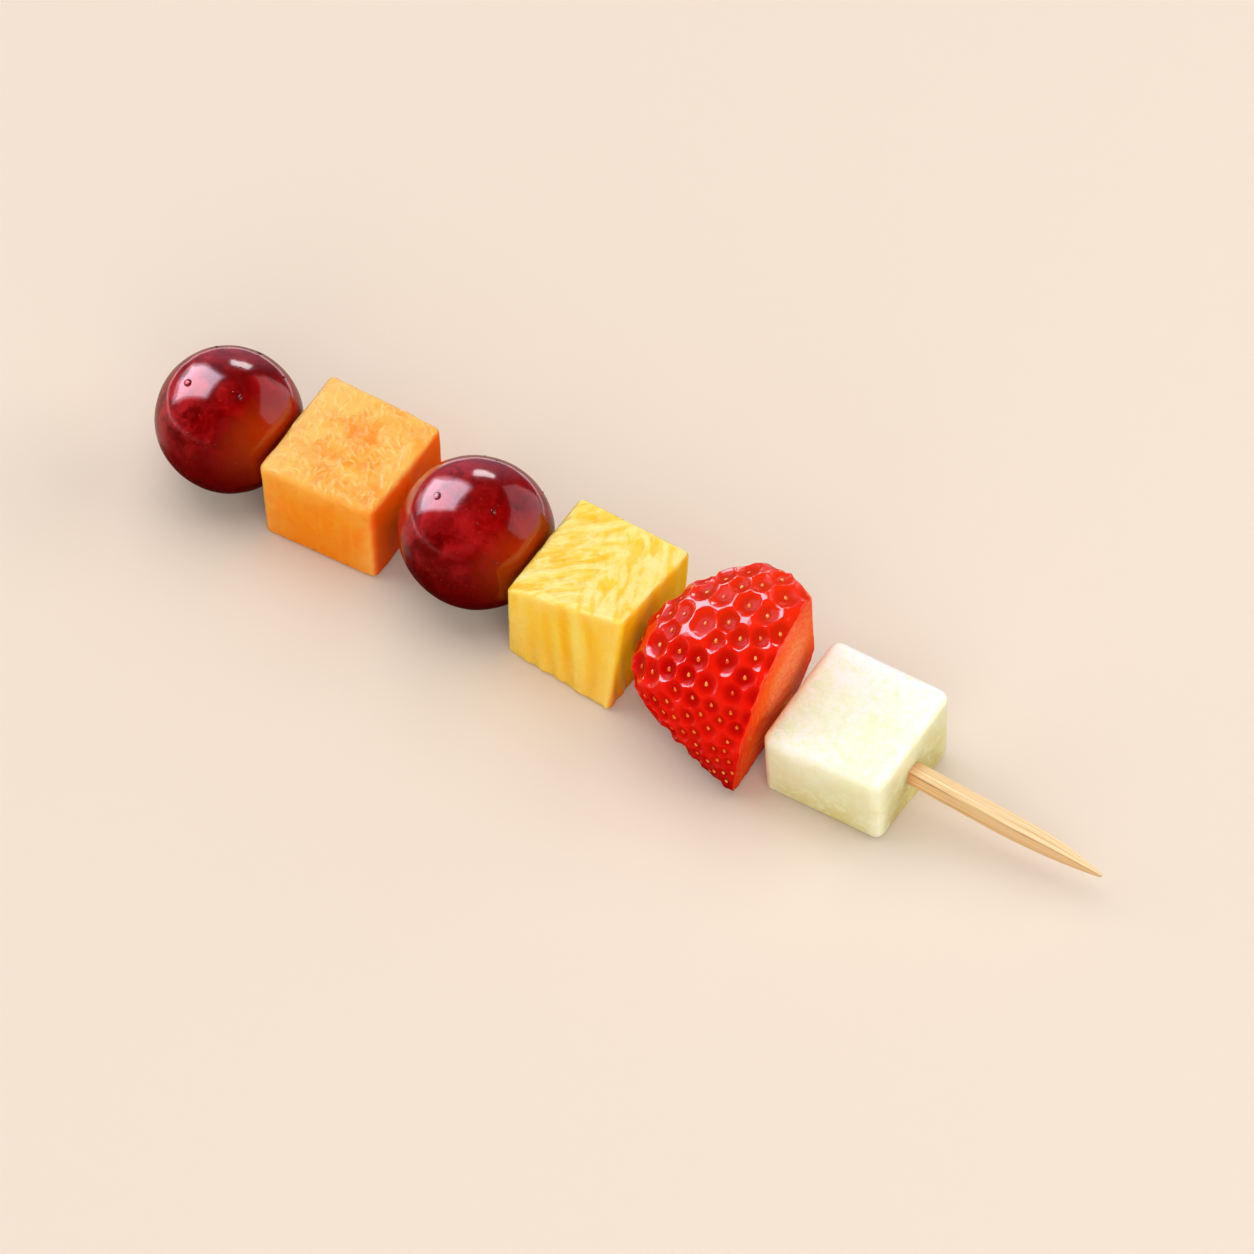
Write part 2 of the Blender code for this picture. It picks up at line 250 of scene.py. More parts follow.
def new_piece(name, bm, material, node):
    """A finished piece, riding on the skewer, that stands for a node of the solid if one is named."""
    bmesh.ops.recalc_face_normals(bm, faces=bm.faces)
    mesh = mesh_from(bm, name, material)
    mesh.shade_smooth()
    piece = placed(name, mesh)
    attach(piece, "root")
    if node:
        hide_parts(node)


def new_marks(bm, *names):
    """Numbers that a mesh will carry at each point, for its finish to read."""
    return [bm.verts.layers.float.new(name) for name in names]


def divided_cube(cuts):
    """A cube from -1 to 1 whose faces are fine grids."""
    bm = bmesh.new()
    bmesh.ops.create_cube(bm, size=2.0)
    bmesh.ops.subdivide_edges(bm, edges=bm.edges[:], cuts=cuts, use_grid_fill=True)
    return bm


def ball_direction(co):
    """Spreads a point of a divided cube evenly onto a unit ball."""
    return Vector([math.tan(t * math.pi / 4) for t in co]).normalized()


def each_axis(first, second):
    """Two vectors multiplied axis by axis."""
    return Vector([a * b for a, b in zip(first, second)])


def finder(points):
    """Tells which of some points lie nearest a place."""
    tree = kdtree.KDTree(len(points))
    for index, point in enumerate(points):
        tree.insert(point, index)
    tree.balance()
    return tree


def value_at(values, run, target):
    """The value where this much of a line has been passed, from its values and how far each lies along."""
    step = clamp(bisect.bisect_right(run, target) - 1, 0, len(run) - 2)
    part = (target - run[step]) / (run[step + 1] - run[step])
    return values[step] + (values[step + 1] - values[step]) * part


def node_points(node):
    return [vert.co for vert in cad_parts[node].data.vertices]


def stick_ends():
    """The middles of the stick's blunt end and of its tip."""
    points = node_points("bamboo_stick")
    low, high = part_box("bamboo_stick")
    blunt = [co for co in points if co.x < low.x + 0.3 * MM]
    tip = [co for co in points if co.x > high.x - 0.1 * MM]
    return [sum(end, Vector()) / len(end) for end in (blunt, tip)]


BLUNT_END, TIP_END = stick_ends()
STICK_LENGTH = (TIP_END - BLUNT_END).length


def off_stick(point):
    """Across and up from the stick's middle line at this place."""
    share = (point.x - BLUNT_END.x) / (TIP_END.x - BLUNT_END.x)
    line = BLUNT_END.lerp(TIP_END, share)
    return point.y - line.y, point.z - line.z


def puncture(point, depth, reach):
    """How far flesh is drawn in round the stick, with small creases."""
    across, up = off_stick(point)
    away = math.hypot(across, up)
    if away > 3 * reach:
        return 0.0
    creases = 1 + 0.07 * math.sin(7 * math.atan2(up, across) + 900 * point.x)
    return depth * math.exp(-((away / reach) ** 2)) * creases


# ---------------------------------------------------------------- material helpers

def opaque(colour):
    """A colour, or a grey given as one number, with its fourth value."""
    grey = isinstance(colour, (int, float))
    return (colour, colour, colour, 1.0) if grey else (*colour, 1.0)


class Nodes:
    """Short ways to make a tree's shader nodes, whose inputs are values or other nodes' outputs."""

    def __init__(self, tree):
        self.tree = tree

    def feed(self, socket, value):
        if isinstance(value, bpy.types.NodeSocket):
            self.tree.links.new(value, socket)
        else:
            socket.default_value = value

    def add(self, kind, inputs, **settings):
        made = self.tree.nodes.new(kind)
        for name, value in settings.items():
            setattr(made, name, value)
        for key, value in inputs.items():
            self.feed(made.inputs[key], value)
        return made

    def place(self, kind="Object"):
        return self.add("ShaderNodeTexCoord", {}).outputs[kind]

    def mark(self, name):
        """A number that the mesh carries at each point."""
        return self.add("ShaderNodeAttribute", {}, attribute_name=name).outputs["Fac"]

    def axis(self, where, letter):
        return self.add("ShaderNodeSeparateXYZ", {"Vector": where}).outputs[letter]

    def stretched(self, where, size, turn=(0.0, 0.0, 0.0)):
        """Coordinates turned, then counted in steps of size along each axis."""
        turned = self.add("ShaderNodeMapping", {"Vector": where, "Rotation": turn}).outputs[0]
        scale = [1 / s for s in size]
        return self.add("ShaderNodeMapping", {"Vector": turned, "Scale": scale}).outputs[0]

    def clouds(self, where, scale=1.0, detail=3.0, roughness=0.5, distortion=0.0):
        inputs = {
            "Vector": where,
            "Scale": scale,
            "Detail": detail,
            "Roughness": roughness,
            "Distortion": distortion,
        }
        return self.add("ShaderNodeTexNoise", inputs).outputs["Fac"]

    def cells(self, where, scale):
        return self.add("ShaderNodeTexVoronoi", {"Vector": where, "Scale": scale}).outputs["Distance"]

    def maths(self, operation, first, second):
        return self.add("ShaderNodeMath", {0: first, 1: second}, operation=operation).outputs[0]

    def times(self, first, second):
        return self.maths("MULTIPLY", first, second)

    def plus(self, first, second):
        return self.maths("ADD", first, second)

    def rest_of(self, share):
        """What a share leaves of 1."""
        return self.maths("SUBTRACT", 1.0, share)

    def scaled(self, value, factor, more):
        """A value times a factor, and something more."""
        return self.plus(self.times(value, factor), more)

    def vector_maths(self, operation, first, second):
        made = self.add("ShaderNodeVectorMath", {0: first, 1: second}, operation=operation)
        return made.outputs["Vector" if operation == "SUBTRACT" else "Value"]

    def ramp(self, value, stops):
        """Colours or greys at places along a scale from 0 to 1."""
        made = self.add("ShaderNodeValToRGB", {"Fac": value})
        elements = made.color_ramp.elements
        while len(elements) < len(stops):
            elements.new(0.5)
        for element, (position, colour) in zip(elements, stops):
            element.position = position
            element.color = opaque(colour)
        return made.outputs["Color"]

    def blend(self, share, first, second, way="MIX"):
        """Two colours mixed by a share from 0 to 1."""
        made = self.add("ShaderNodeMix", {0: share}, data_type="RGBA", blend_type=way)
        sockets = [socket for socket in made.inputs if socket.type == "RGBA"]
        for socket, colour in zip(sockets, (first, second)):
            linked = isinstance(colour, bpy.types.NodeSocket)
            self.feed(socket, colour if linked else opaque(colour))
        return next(socket for socket in made.outputs if socket.type == "RGBA")

    def wash(self, under, colour, value, stops, *limits):
        """A colour laid over what is under it, as strongly as stops give for a value, within limits."""
        share = self.ramp(value, stops)
        for limit in limits:
            share = self.times(share, limit)
        return self.blend(share, under, colour)

    def bumped(self, height, distance, strength=1.0, under=None):
        inputs = {"Height": height, "Distance": distance, "Strength": strength}
        if under:
            inputs["Normal"] = under
        return self.add("ShaderNodeBump", inputs).outputs["Normal"]


class Finish(Nodes):
    """A material whose shader's sockets start at the given values."""

    def __init__(self, name, values):
        self.material = bpy.data.materials.new(name)
        self.material.use_nodes = True
        super().__init__(self.material.node_tree)
        self.shader = self.tree.nodes["Principled BSDF"]
        for socket, value in values.items():
            self.shader.inputs[socket].default_value = value

    def made(self, **sockets):
        """The material, with sockets of its shader joined to other nodes' outputs."""
        for name, value in sockets.items():
            self.tree.links.new(value, self.shader.inputs[name.replace("_", " ")])
        return self.material


# ---------------------------------------------------------------- finishes

def grape_skin_finish(name, middle, lit_sides):
    """Deep wine-red skin with a mauve bloom above and a painted sheen on its lit upper left, painted shade
    low on the right front and a painted orange glow toward lit_sides, under a wet gloss.
    """
    look = Finish(
        name,
        {
            "Subsurface Weight": 0.5,
            "Subsurface Radius": (1.0, 0.08, 0.05),
            "Subsurface Scale": 3.0 * MM,
            "Roughness": 0.15,
            "IOR": 1.48,
            "Coat Weight": 0.5,
            "Coat Roughness": 0.05,
            "Coat IOR": 1.4,
        },
    )
    where = look.place()
    broad = look.clouds(where, 130, 3, 0.5, 1.2)
    fine = look.clouds(where, 420, 4, 0.6, 1.6)
    streaks = look.clouds(look.stretched(where, (7 * MM, 1.1 * MM, 1.1 * MM)), 1.0, 3, 0.6, 0.5)
    mixed = look.plus(look.times(broad, 0.65), look.times(fine, 0.22))
    mixed = look.plus(mixed, look.times(streaks, 0.13))
    colour = look.ramp(
        mixed,
        [
            (0.36, (0.135, 0.0004, 0.0003)),
            (0.46, (0.190, 0.0006, 0.0004)),
            (0.54, (0.250, 0.0010, 0.0006)),
            (0.64, (0.330, 0.0030, 0.0025)),
        ],
    )
    outward = look.vector_maths("SUBTRACT", where, middle)
    # Painted sheen: the bloom, the pale blotches and the flakes show most on the upper left front, where the
    # light falls.
    upward = look.vector_maths("DOT_PRODUCT", outward, BLOOM_AND_SHEEN_WAY)
    shown = look.ramp(upward, [(0.25, 0.30), (0.80, 1.0)])
    bloom_and_sheen = look.scaled(upward, 0.16, mixed)
    colour = look.wash(colour, (0.56, 0.018, 0.025), bloom_and_sheen, [(0.56, 0.0), (0.62, 0.34), (0.70, 0.74)], shown)
    blotches = look.clouds(where, 230, 4, 0.55, 1.0)
    pale = [(0.500, 0.0), (0.512, 0.30), (0.66, 0.48)]
    colour = look.wash(colour, (0.38, 0.010, 0.012), blotches, pale, shown)
    colour = look.wash(colour, (0.12, 0.0005, 0.0003), blotches, [(0.42, 0.55), (0.45, 0.0)])
    flakes = [(0.520, 0.0), (0.530, 0.24), (0.62, 0.34)]
    colour = look.wash(colour, (0.36, 0.010, 0.014), fine, flakes, shown)
    # Painted glow: the orange light of the cube beside, laid into the skin round each lit side.
    glow = 0.0
    for lit_side, strength in lit_sides:
        far = look.vector_maths("DISTANCE", where, lit_side)
        far = look.scaled(far, 75.0, look.times(mixed, 0.35))
        glow = look.maths("MAXIMUM", look.ramp(far, [(0.42, strength), (0.82, 0.0)]), glow)
    colour = look.blend(glow, colour, (0.38, 0.030, 0.0004))
    # Painted shade, darkest low on the right front.
    low = look.plus(look.vector_maths("DOT_PRODUCT", outward, SHADE_WAY), 0.5)
    colour = look.wash(colour, (0.080, 0.0005, 0.0003), low, [(0.12, 0.88), (0.60, 0.0)])
    colour = look.wash(colour, (0.75, 0.28, 0.22), look.cells(where, 900), [(0.0, 1.0), (0.16, 0.0)], 0.08)
    skin = look.bumped(look.clouds(where, 520, 3, 0.55), 0.020 * MM)
    return look.made(Base_Color=colour, Normal=skin)


def from_left(look, where, node, unevenness):
    """How far across a cube from its left side, from 0 to 1, made a little uneven."""
    low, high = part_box(node)
    across = look.maths("SUBTRACT", look.axis(where, "X"), low.x)
    across = look.maths("DIVIDE", across, high.x - low.x)
    return look.plus(across, look.times(unevenness, 0.25))


def foot_shade(look, where, beside, reach, least, most):
    """How much painted shade darkens a cube's sides toward its foot, least on open ones and most beside a
    neighbour.
    """
    near = look.rest_of(look.maths("DIVIDE", look.axis(where, "Z"), reach))
    near = look.maths("MAXIMUM", near, 0.0)
    return look.times(near, look.ramp(beside, [(0.0, least), (1.0, most)]))


def edge_highlight(look, under, pale, broad, least, most, *limits):
    """Pales a cube's edges unevenly, as a painted highlight along them."""
    worn = look.times(look.mark("edge"), look.ramp(broad, [(0.35, least), (0.65, 1.0)]))
    for limit in limits:
        worn = look.times(worn, limit)
    return look.wash(under, pale, worn, [(0.05, 0.0), (0.9, most)])


def cut_flesh(name, clearness, reach, weight, specular, coat, coat_roughness):
    """Wet flesh that light enters: clearness for each colour, and how far it goes in."""
    return Finish(
        name,
        {
            "Subsurface Weight": weight,
            "Subsurface Radius": clearness,
            "Subsurface Scale": reach,
            "IOR": 1.38,
            "Specular IOR Level": specular,
            "Coat Weight": coat,
            "Coat Roughness": coat_roughness,
        },
    )


def cantaloupe_finish():
    """Wet orange melon: paler strands where the knife roughened the top; down the sides a deeper orange,
    partly painted shade, with painted shade and orange bounce light beside a neighbour and painted shade
    toward the foot; a painted highlight along the edges.
    """
    look = cut_flesh("cantaloupe_flesh", (1.0, 0.34, 0.06), 2.2 * MM, 0.8, 0.22, 0.05, 0.10)
    where = look.place()
    top = look.mark("top")
    beside = look.mark("beside")
    sheltered = look.ramp(beside, [(0.3, 1.0), (1.0, 0.25)])
    broad = look.clouds(where, 150, 3, 0.55, 0.8)
    # The sides' deeper orange than the top is partly painted shade.
    side = look.ramp(broad, [(0.3, (0.92, 0.272, 0.008)), (0.7, (0.95, 0.370, 0.017))])
    # Painted shade and orange bounce light from the neighbour, on the sides that face one.
    side = look.blend(look.times(beside, 0.78), side, (0.90, 0.088, 0.0003))
    # Painted shade toward the foot.
    side = look.blend(foot_shade(look, where, beside, 14 * MM, 0.35, 0.85), side, (0.66, 0.045, 0.0002))
    upper = look.ramp(
        broad, [(0.34, (0.84, 0.30, 0.020)), (0.48, (0.88, 0.39, 0.042)), (0.66, (0.89, 0.49, 0.085))]
    )
    inward = from_left(look, where, "cantaloupe_cube", broad)
    upper = look.wash(upper, (0.92, 0.64, 0.23), inward, [(0.10, 0.65), (0.60, 0.0)])
    colour = look.blend(top, side, upper)
    patchy = look.clouds(where, 430, 4, 0.6, 0.8)
    colour = look.wash(colour, (0.86, 0.30, 0.018), patchy, [(0.32, 0.6), (0.50, 0.0)], top)
    colour = look.wash(colour, (0.92, 0.57, 0.15), patchy, [(0.50, 0.0), (0.64, 0.6)], top)
    # Painted highlight along the edges.
    colour = edge_highlight(look, colour, (0.95, 0.54, 0.14), broad, 0.35, 0.75, sheltered)
    colour = look.wash(colour, (0.96, 0.71, 0.28), look.mark("strand"), [(0.15, 0.0), (0.9, 0.60)])
    low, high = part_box("cantaloupe_cube")
    half = (high - low) / 2
    far = look.vector_maths("DISTANCE", where, low + half + each_axis(CANTALOUPE_PATCH, half))
    far = look.scaled(far, 120.0, look.times(patchy, 0.8))
    colour = look.wash(colour, (0.88, 0.22, 0.008), far, [(0.45, 0.65), (0.85, 0.0)])
    drag = look.clouds(look.stretched(where, (1.1 * MM, 1.1 * MM, 9 * MM)), 1.0, 3, 0.55, 0.3)
    dragged = [(0.5, 0.0), (0.7, 0.3)]
    colour = look.wash(colour, (0.95, 0.42, 0.05), drag, dragged, look.rest_of(top), look.rest_of(beside))
    roughened = look.scaled(top, 0.8, 0.2)
    rough = look.bumped(look.times(patchy, roughened), 0.16 * MM, 0.7)
    crumbs = look.times(look.clouds(where, 1500, 3, 0.6), roughened)
    rough = look.bumped(crumbs, 0.08 * MM, 0.7, rough)
    curls = look.clouds(where, 620, 2, 0.5, 1.4)
    curls = look.ramp(curls, [(0.470, 0.0), (0.496, 1.0), (0.504, 1.0), (0.530, 0.0)])
    curls = look.times(curls, look.times(look.ramp(patchy, [(0.42, 0.0), (0.56, 1.0)]), top))
    rough = look.bumped(curls, 0.06 * MM, 0.8, rough)
    colour = look.blend(look.times(curls, 0.35), colour, (0.97, 0.68, 0.26))
    gloss = look.ramp(patchy, [(0.35, 0.22), (0.65, 0.42)])
    gloss = look.times(gloss, look.ramp(beside, [(0.0, 1.0), (1.0, 0.45)]))
    return look.made(Base_Color=colour, Roughness=gloss, Normal=rough)


def pineapple_finish():
    """Golden pineapple: pale fibres, with deeper gold in the hollows that is partly painted shade, and down
    the sides a deeper gold of painted shade and bounce light beside a neighbour and of painted shade toward
    the foot; a painted highlight along the edges.
    """
    look = cut_flesh("pineapple_flesh", (1.0, 0.6, 0.10), 2.2 * MM, 0.8, 0.22, 0.05, 0.10)
    where = look.place()
    top = look.mark("top")
    beside = look.mark("beside")
    raised = look.mark("raised")
    sheltered = look.ramp(beside, [(0.3, 1.0), (1.0, 0.25)])
    side = look.ramp(
        raised, [(0.2, (0.91, 0.48, 0.012)), (0.5, (0.95, 0.58, 0.045)), (0.9, (0.96, 0.68, 0.12))]
    )
    # Painted shade and orange bounce light from the neighbour, on the sides that face one.
    side = look.blend(look.times(beside, 0.8), side, (0.99, 0.64, 0.004))
    # Painted shade toward the foot.
    side = look.blend(foot_shade(look, where, beside, 10 * MM, 0.28, 1.0), side, (0.66, 0.115, 0.0003))
    # Lower spots are deeper gold: partly the flesh's own tone and partly painted shade, deepest in the
    # hollows.
    upper = look.ramp(
        raised,
        [
            (0.0, (0.88, 0.54, 0.010)),
            (0.35, (0.90, 0.61, 0.040)),
            (0.6, (0.91, 0.65, 0.11)),
            (1.0, (0.93, 0.73, 0.24)),
        ],
    )
    colour = look.blend(top, side, upper)
    broad = look.clouds(where, 190, 3, 0.55, 0.5)
    colour = look.wash(colour, (0.96, 0.75, 0.24), broad, [(0.45, 0.0), (0.75, 0.35)], top)
    low = look.scaled(look.axis(where, "Z"), 60.0, look.times(broad, 0.9))
    open_sides = (look.rest_of(top), look.rest_of(beside))
    colour = look.wash(colour, (0.94, 0.66, 0.12), low, [(0.40, 0.5), (0.95, 0.0)], *open_sides)
    # Painted highlight along the edges.
    colour = edge_highlight(look, colour, (0.96, 0.74, 0.22), broad, 0.4, 0.8, sheltered)
    colour = look.wash(colour, (0.97, 0.82, 0.38), look.mark("strand"), [(0.2, 0.0), (0.9, 0.26)])
    across = from_left(look, where, "pineapple_cube", look.times(broad, 1.6))
    turned = look.ramp(across, [(0.62, 0.0), (0.90, 1.0)])
    fibres, others = [
        look.clouds(look.stretched(where, PINEAPPLE_FIBRE, (0.0, 0.0, grain)), 1.0, 3, 0.5, 0.9)
        for grain in PINEAPPLE_GRAINS
    ]
    fibres = look.blend(turned, fibres, others)
    colour = look.wash(colour, (0.94, 0.79, 0.33), fibres, [(0.49, 0.0), (0.58, 0.66)], top)
    colour = look.wash(colour, (0.89, 0.54, 0.012), fibres, [(0.39, 0.68), (0.47, 0.0)], top)
    patchy = look.clouds(where, 800, 4, 0.6, 0.6)
    colour = look.wash(colour, (0.94, 0.60, 0.03), patchy, [(0.30, 0.3), (0.45, 0.0)], top)
    roughened = look.scaled(top, 0.75, 0.25)
    rough = look.bumped(look.times(patchy, roughened), 0.10 * MM, 0.5)
    rough = look.bumped(look.times(fibres, roughened), 0.45 * MM, 0.8, rough)
    grain = look.times(look.clouds(where, 2400, 3, 0.6), roughened)
    rough = look.bumped(grain, 0.03 * MM, 0.4, rough)
    gloss = look.ramp(patchy, [(0.35, 0.22), (0.7, 0.40)])
    gloss = look.times(gloss, look.ramp(beside, [(0.0, 1.0), (1.0, 0.45)]))
    return look.made(Base_Color=colour, Roughness=gloss, Normal=rough)


def honeydew_finish():
    """Pale green-white melon, clear enough to glow, with a frost of fine crystals on top."""
    look = cut_flesh("honeydew_flesh", (1.0, 0.9, 0.55), 2.4 * MM, 1.0, 0.3, 0.07, 0.15)
    where = look.place()
    top = look.mark("top")
    beside = look.mark("beside")
    broad = look.clouds(where, 180, 3, 0.55, 0.6)
    # The sides' yellower tan than the top is partly painted bounce light from the floor and painted shade.
    side = look.ramp(broad, [(0.3, (0.82, 0.81, 0.53)), (0.7, (0.92, 0.91, 0.73))])
    # Painted shade on the sides that face a neighbour.
    side = look.blend(look.times(beside, 0.8), side, (0.74, 0.69, 0.36))
    # Painted shade toward the foot.
    side = look.blend(foot_shade(look, where, beside, 11 * MM, 0.80, 1.0), side, (0.61, 0.49, 0.11))
    upper = look.ramp(broad, [(0.3, (0.83, 0.94, 0.68)), (0.7, (0.89, 0.97, 0.85))])
    inward = from_left(look, where, "honeydew_cube", broad)
    upper = look.wash(upper, (0.60, 0.78, 0.44), inward, [(0.12, 0.80), (0.40, 0.0)])
    backward = look.scaled(look.axis(where, "Y"), 50.0, 0.5)
    upper = look.wash(upper, (0.97, 0.99, 0.98), backward, [(0.55, 0.0), (0.95, 0.8)])
    colour = look.blend(top, side, upper)
    # Painted highlight along the edges.
    colour = edge_highlight(look, colour, (0.96, 0.97, 0.90), broad, 0.4, 0.7)
    clear = look.clouds(where, 480, 3, 0.6, 0.8)
    colour = look.wash(colour, (0.82, 0.88, 0.58), clear, [(0.36, 0.45), (0.52, 0.0)])
    crumbs = look.clouds(where, 1300, 4, 0.65, 0.8)
    colour = look.wash(colour, (0.98, 0.98, 0.96), crumbs, [(0.5, 0.0), (0.72, 0.9)], top)
    colour = look.wash(colour, (0.78, 0.80, 0.48), crumbs, [(0.3, 0.7), (0.48, 0.0)], 0.6)
    rough = look.bumped(crumbs, 0.13 * MM, 0.7)
    gloss = look.ramp(crumbs, [(0.35, 0.28), (0.7, 0.42)])
    return look.made(Base_Color=colour, Roughness=gloss, Normal=rough)


def strawberry_finish():
    """Bright red glossy skin, darkened by painted shade in its pits and low down, and where it is sliced,
    flesh that pales and streaks inward.
    """
    look = Finish(
        "strawberry_skin",
        {
            "Subsurface Weight": 0.4,
            "Subsurface Radius": (1.0, 0.10, 0.04),
            "Subsurface Scale": 1.6 * MM,
            "IOR": 1.5,
            "Specular IOR Level": 0.03,
            "Coat Roughness": 0.035,
            "Coat IOR": 1.75,
        },
    )
    where = look.place()
    depth = look.mark("depth")
    pit = look.mark("pit")
    along = look.mark("along")
    cut = look.ramp(depth, [(0.02, 0.0), (0.06, 1.0)])
    broad = look.clouds(where, 150, 3, 0.55, 0.5)
    skin = look.ramp(broad, [(0.3, (0.74, 0.0045, 0.001)), (0.7, (0.90, 0.015, 0.003))])
    # Painted shade in the pits, darkest at their floors.
    skin = look.wash(skin, (0.46, 0.0008, 0.0003), pit, [(0.25, 0.0), (0.95, 0.85)])
    skin = look.wash(skin, (0.90, 0.06, 0.008), along, [(0.60, 0.0), (0.95, 0.4)])
    # Painted shade, darkening the skin toward its lower side.
    low = look.times(look.axis(where, "Z"), 60.0)
    skin = look.wash(skin, (0.27, 0.0010, 0.0004), low, [(0.06, 0.92), (0.60, 0.0)])
    flesh = look.ramp(
        depth,
        [
            (0.04, (0.84, 0.014, 0.0006)),
            (0.15, (0.90, 0.032, 0.0006)),
            (0.36, (0.94, 0.075, 0.0030)),
            (0.70, (0.95, 0.12, 0.010)),
            (1.0, (0.96, 0.24, 0.08)),
        ],
    )
    lines = look.add("ShaderNodeCombineXYZ", {"X": look.mark("streak"), "Y": depth}).outputs[0]
    streaks = look.clouds(lines, 9, 3, 0.6, 0.4)
    flesh = look.wash(flesh, (0.86, 0.23, 0.08), along, [(0.62, 0.0), (0.95, 0.45)])
    flesh = look.wash(flesh, (0.84, 0.030, 0.002), streaks, [(0.45, 0.0), (0.62, 0.48)])
    flesh = look.wash(flesh, (0.95, 0.30, 0.08), streaks, [(0.3, 0.55), (0.44, 0.0)])
    colour = look.blend(cut, skin, flesh)
    gloss = look.blend(cut, 0.25, 0.40)
    wet = look.blend(cut, look.ramp(pit, [(0.28, 0.9), (0.52, 0.03)]), 0.14)
    rough = look.bumped(look.clouds(where, 1300, 3, 0.5), 0.015 * MM, 0.8)
    return look.made(Base_Color=colour, Roughness=gloss, Coat_Weight=wet, Normal=rough)


def seed_finish():
    """Straw-yellow seeds, some of them reddened."""
    gloss = {"Roughness": 0.25, "IOR": 1.5, "Coat Weight": 0.8, "Coat Roughness": 0.05}
    look = Finish("strawberry_seed", gloss)
    where = look.place()
    tint = look.clouds(where, 330, 2, 0.5)
    colour = look.ramp(
        tint, [(0.32, (0.70, 0.05, 0.002)), (0.48, (0.85, 0.20, 0.010)), (0.64, (0.93, 0.42, 0.08))]
    )
    grain = look.bumped(look.clouds(where, 5000, 2, 0.5), 0.02 * MM, 0.4)
    return look.made(Base_Color=colour, Normal=grain)


def bamboo_finish():
    """Split bamboo: pale straw fibres along the stick, brown where its outer edge runs."""
    look = Finish("bamboo", {"IOR": 1.45, "Subsurface Weight": 0.0})
    length = look.times(look.axis(look.place(), "X"), 50.0)
    around = look.times(look.mark("around"), 8.0)
    strip = look.add("ShaderNodeCombineXYZ", {"X": length, "Y": around}).outputs[0]
    fine = look.clouds(strip, 1.0, 5, 0.7, 0.2)
    wide = look.clouds(strip, 0.3, 3, 0.6, 0.2)
    colour = look.ramp(
        fine, [(0.34, (0.58, 0.31, 0.11)), (0.46, (0.84, 0.60, 0.30)), (0.60, (0.95, 0.80, 0.53))]
    )
    colour = look.wash(colour, (0.70, 0.42, 0.16), wide, [(0.35, 0.5), (0.6, 0.0)])
    colour = look.blend(look.times(look.mark("front"), 0.4), colour, (0.72, 0.37, 0.12))
    patchy = look.clouds(strip, 0.5, 2, 0.5)
    colour = look.wash(colour, (0.33, 0.115, 0.02), patchy, [(0.3, 0.55), (0.6, 1.0)], look.mark("rind"))
    # Juice stain and painted shade: darker orange-brown through and between the pieces.
    colour = look.blend(look.times(look.mark("juice_and_shade"), 0.85), colour, (0.55, 0.16, 0.012))
    rough = look.bumped(fine, 0.06 * MM, 0.7)
    gloss = look.ramp(fine, [(0.3, 0.62), (0.7, 0.45)])
    return look.made(Base_Color=colour, Roughness=gloss, Normal=rough)


def water_finish():
    """Clear water, nearly white on top, with a painted dark red shade round its foot where the drop's edge
    shows dark.
    """
    look = Finish("water", {"Transmission Weight": 1.0, "Roughness": 0.0, "IOR": 1.33})
    colour = look.ramp(look.mark("dome"), [(0.55, (0.09, 0.004, 0.007)), (0.80, (0.97, 0.82, 0.82))])
    return look.made(Base_Color=colour)


def table_finish():
    paint = {"Base Color": (0.76, 0.66, 0.56, 1), "Roughness": 0.8, "Specular IOR Level": 0.1}
    return Finish("pale_table", paint).made()


# ---------------------------------------------------------------- grapes

def grape_form(node):
    """A grape's middle and its half sizes, from its solid."""
    low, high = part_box(node)
    top = max(node_points(node), key=lambda co: co.z)
    centre = Vector((top.x, (low.y + high.y) / 2, (low.z + high.z) / 2))
    half_width = (high.y - low.y) / 2
    return centre, Vector((half_width * GRAPE_LENGTH_SHARE, half_width, (high.z - low.z) / 2))


def dented(out, centre):
    """A way out from a grape's middle, made a little shorter where the grape is out of round."""
    dent = 0.5 + 0.5 * noise.noise(out * 1.4 + centre * 300)
    return out * (1 - GRAPE_DENT * dent)


def grape(name, node, pressed_left, drawn_in, glows):
    """A grape a little out of round, pressed where it meets its neighbours."""
    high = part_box(node)[1]
    centre, half = grape_form(node)
    bm = divided_cube(GRAPE_CUTS)
    for vert in bm.verts:
        out = ball_direction(vert.co)
        point = centre + each_axis(dented(out, centre), half)
        point.x = centre.x + smooth_min(point.x - centre.x, high.x - centre.x + GRAPE_SPREAD, GRAPE_PRESS)
        if pressed_left and point.x < centre.x:
            point.x -= GRAPE_LEAN * (centre.x - point.x) / half.x
        ripple = GRAPE_RIPPLE * (noise.noise(out * 5 + centre * 500) - 0.6)
        if drawn_in and point.x < centre.x:
            ripple -= puncture(point, PUNCTURE_DEPTH, PUNCTURE_REACH)
        vert.co = point + out * ripple
    lit_sides = [(centre + Vector(way) * half.z, strength) for way, strength in glows]
    new_piece(name, bm, grape_skin_finish(name, centre, lit_sides), node)


# ---------------------------------------------------------------- cut cubes

def sharp_corners(node, edge):
    """The eight corners of a cut cube before its edges were rounded, by side along each axis."""
    low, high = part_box(node)
    middle = (low + high) / 2
    half = (high - low) / 2
    pull = edge * (1 - 1 / math.sqrt(3))
    found = {}
    for sides in itertools.product((-1, 1), repeat=3):
        corner = max(
            node_points(node),
            key=lambda co: sum(s * (c - m) / h for s, c, m, h in zip(sides, co, middle, half)),
        )
        found[sides] = corner + Vector(sides) * pull
    return found


def within(corners, share):
    """The place between eight corners of shares that run from -1 to 1 along each axis."""
    found = Vector()
    for sides, corner in corners.items():
        weight = 1.0
        for side, part in zip(sides, share):
            weight *= (1 + side * part) / 2
        found += weight * corner
    return found


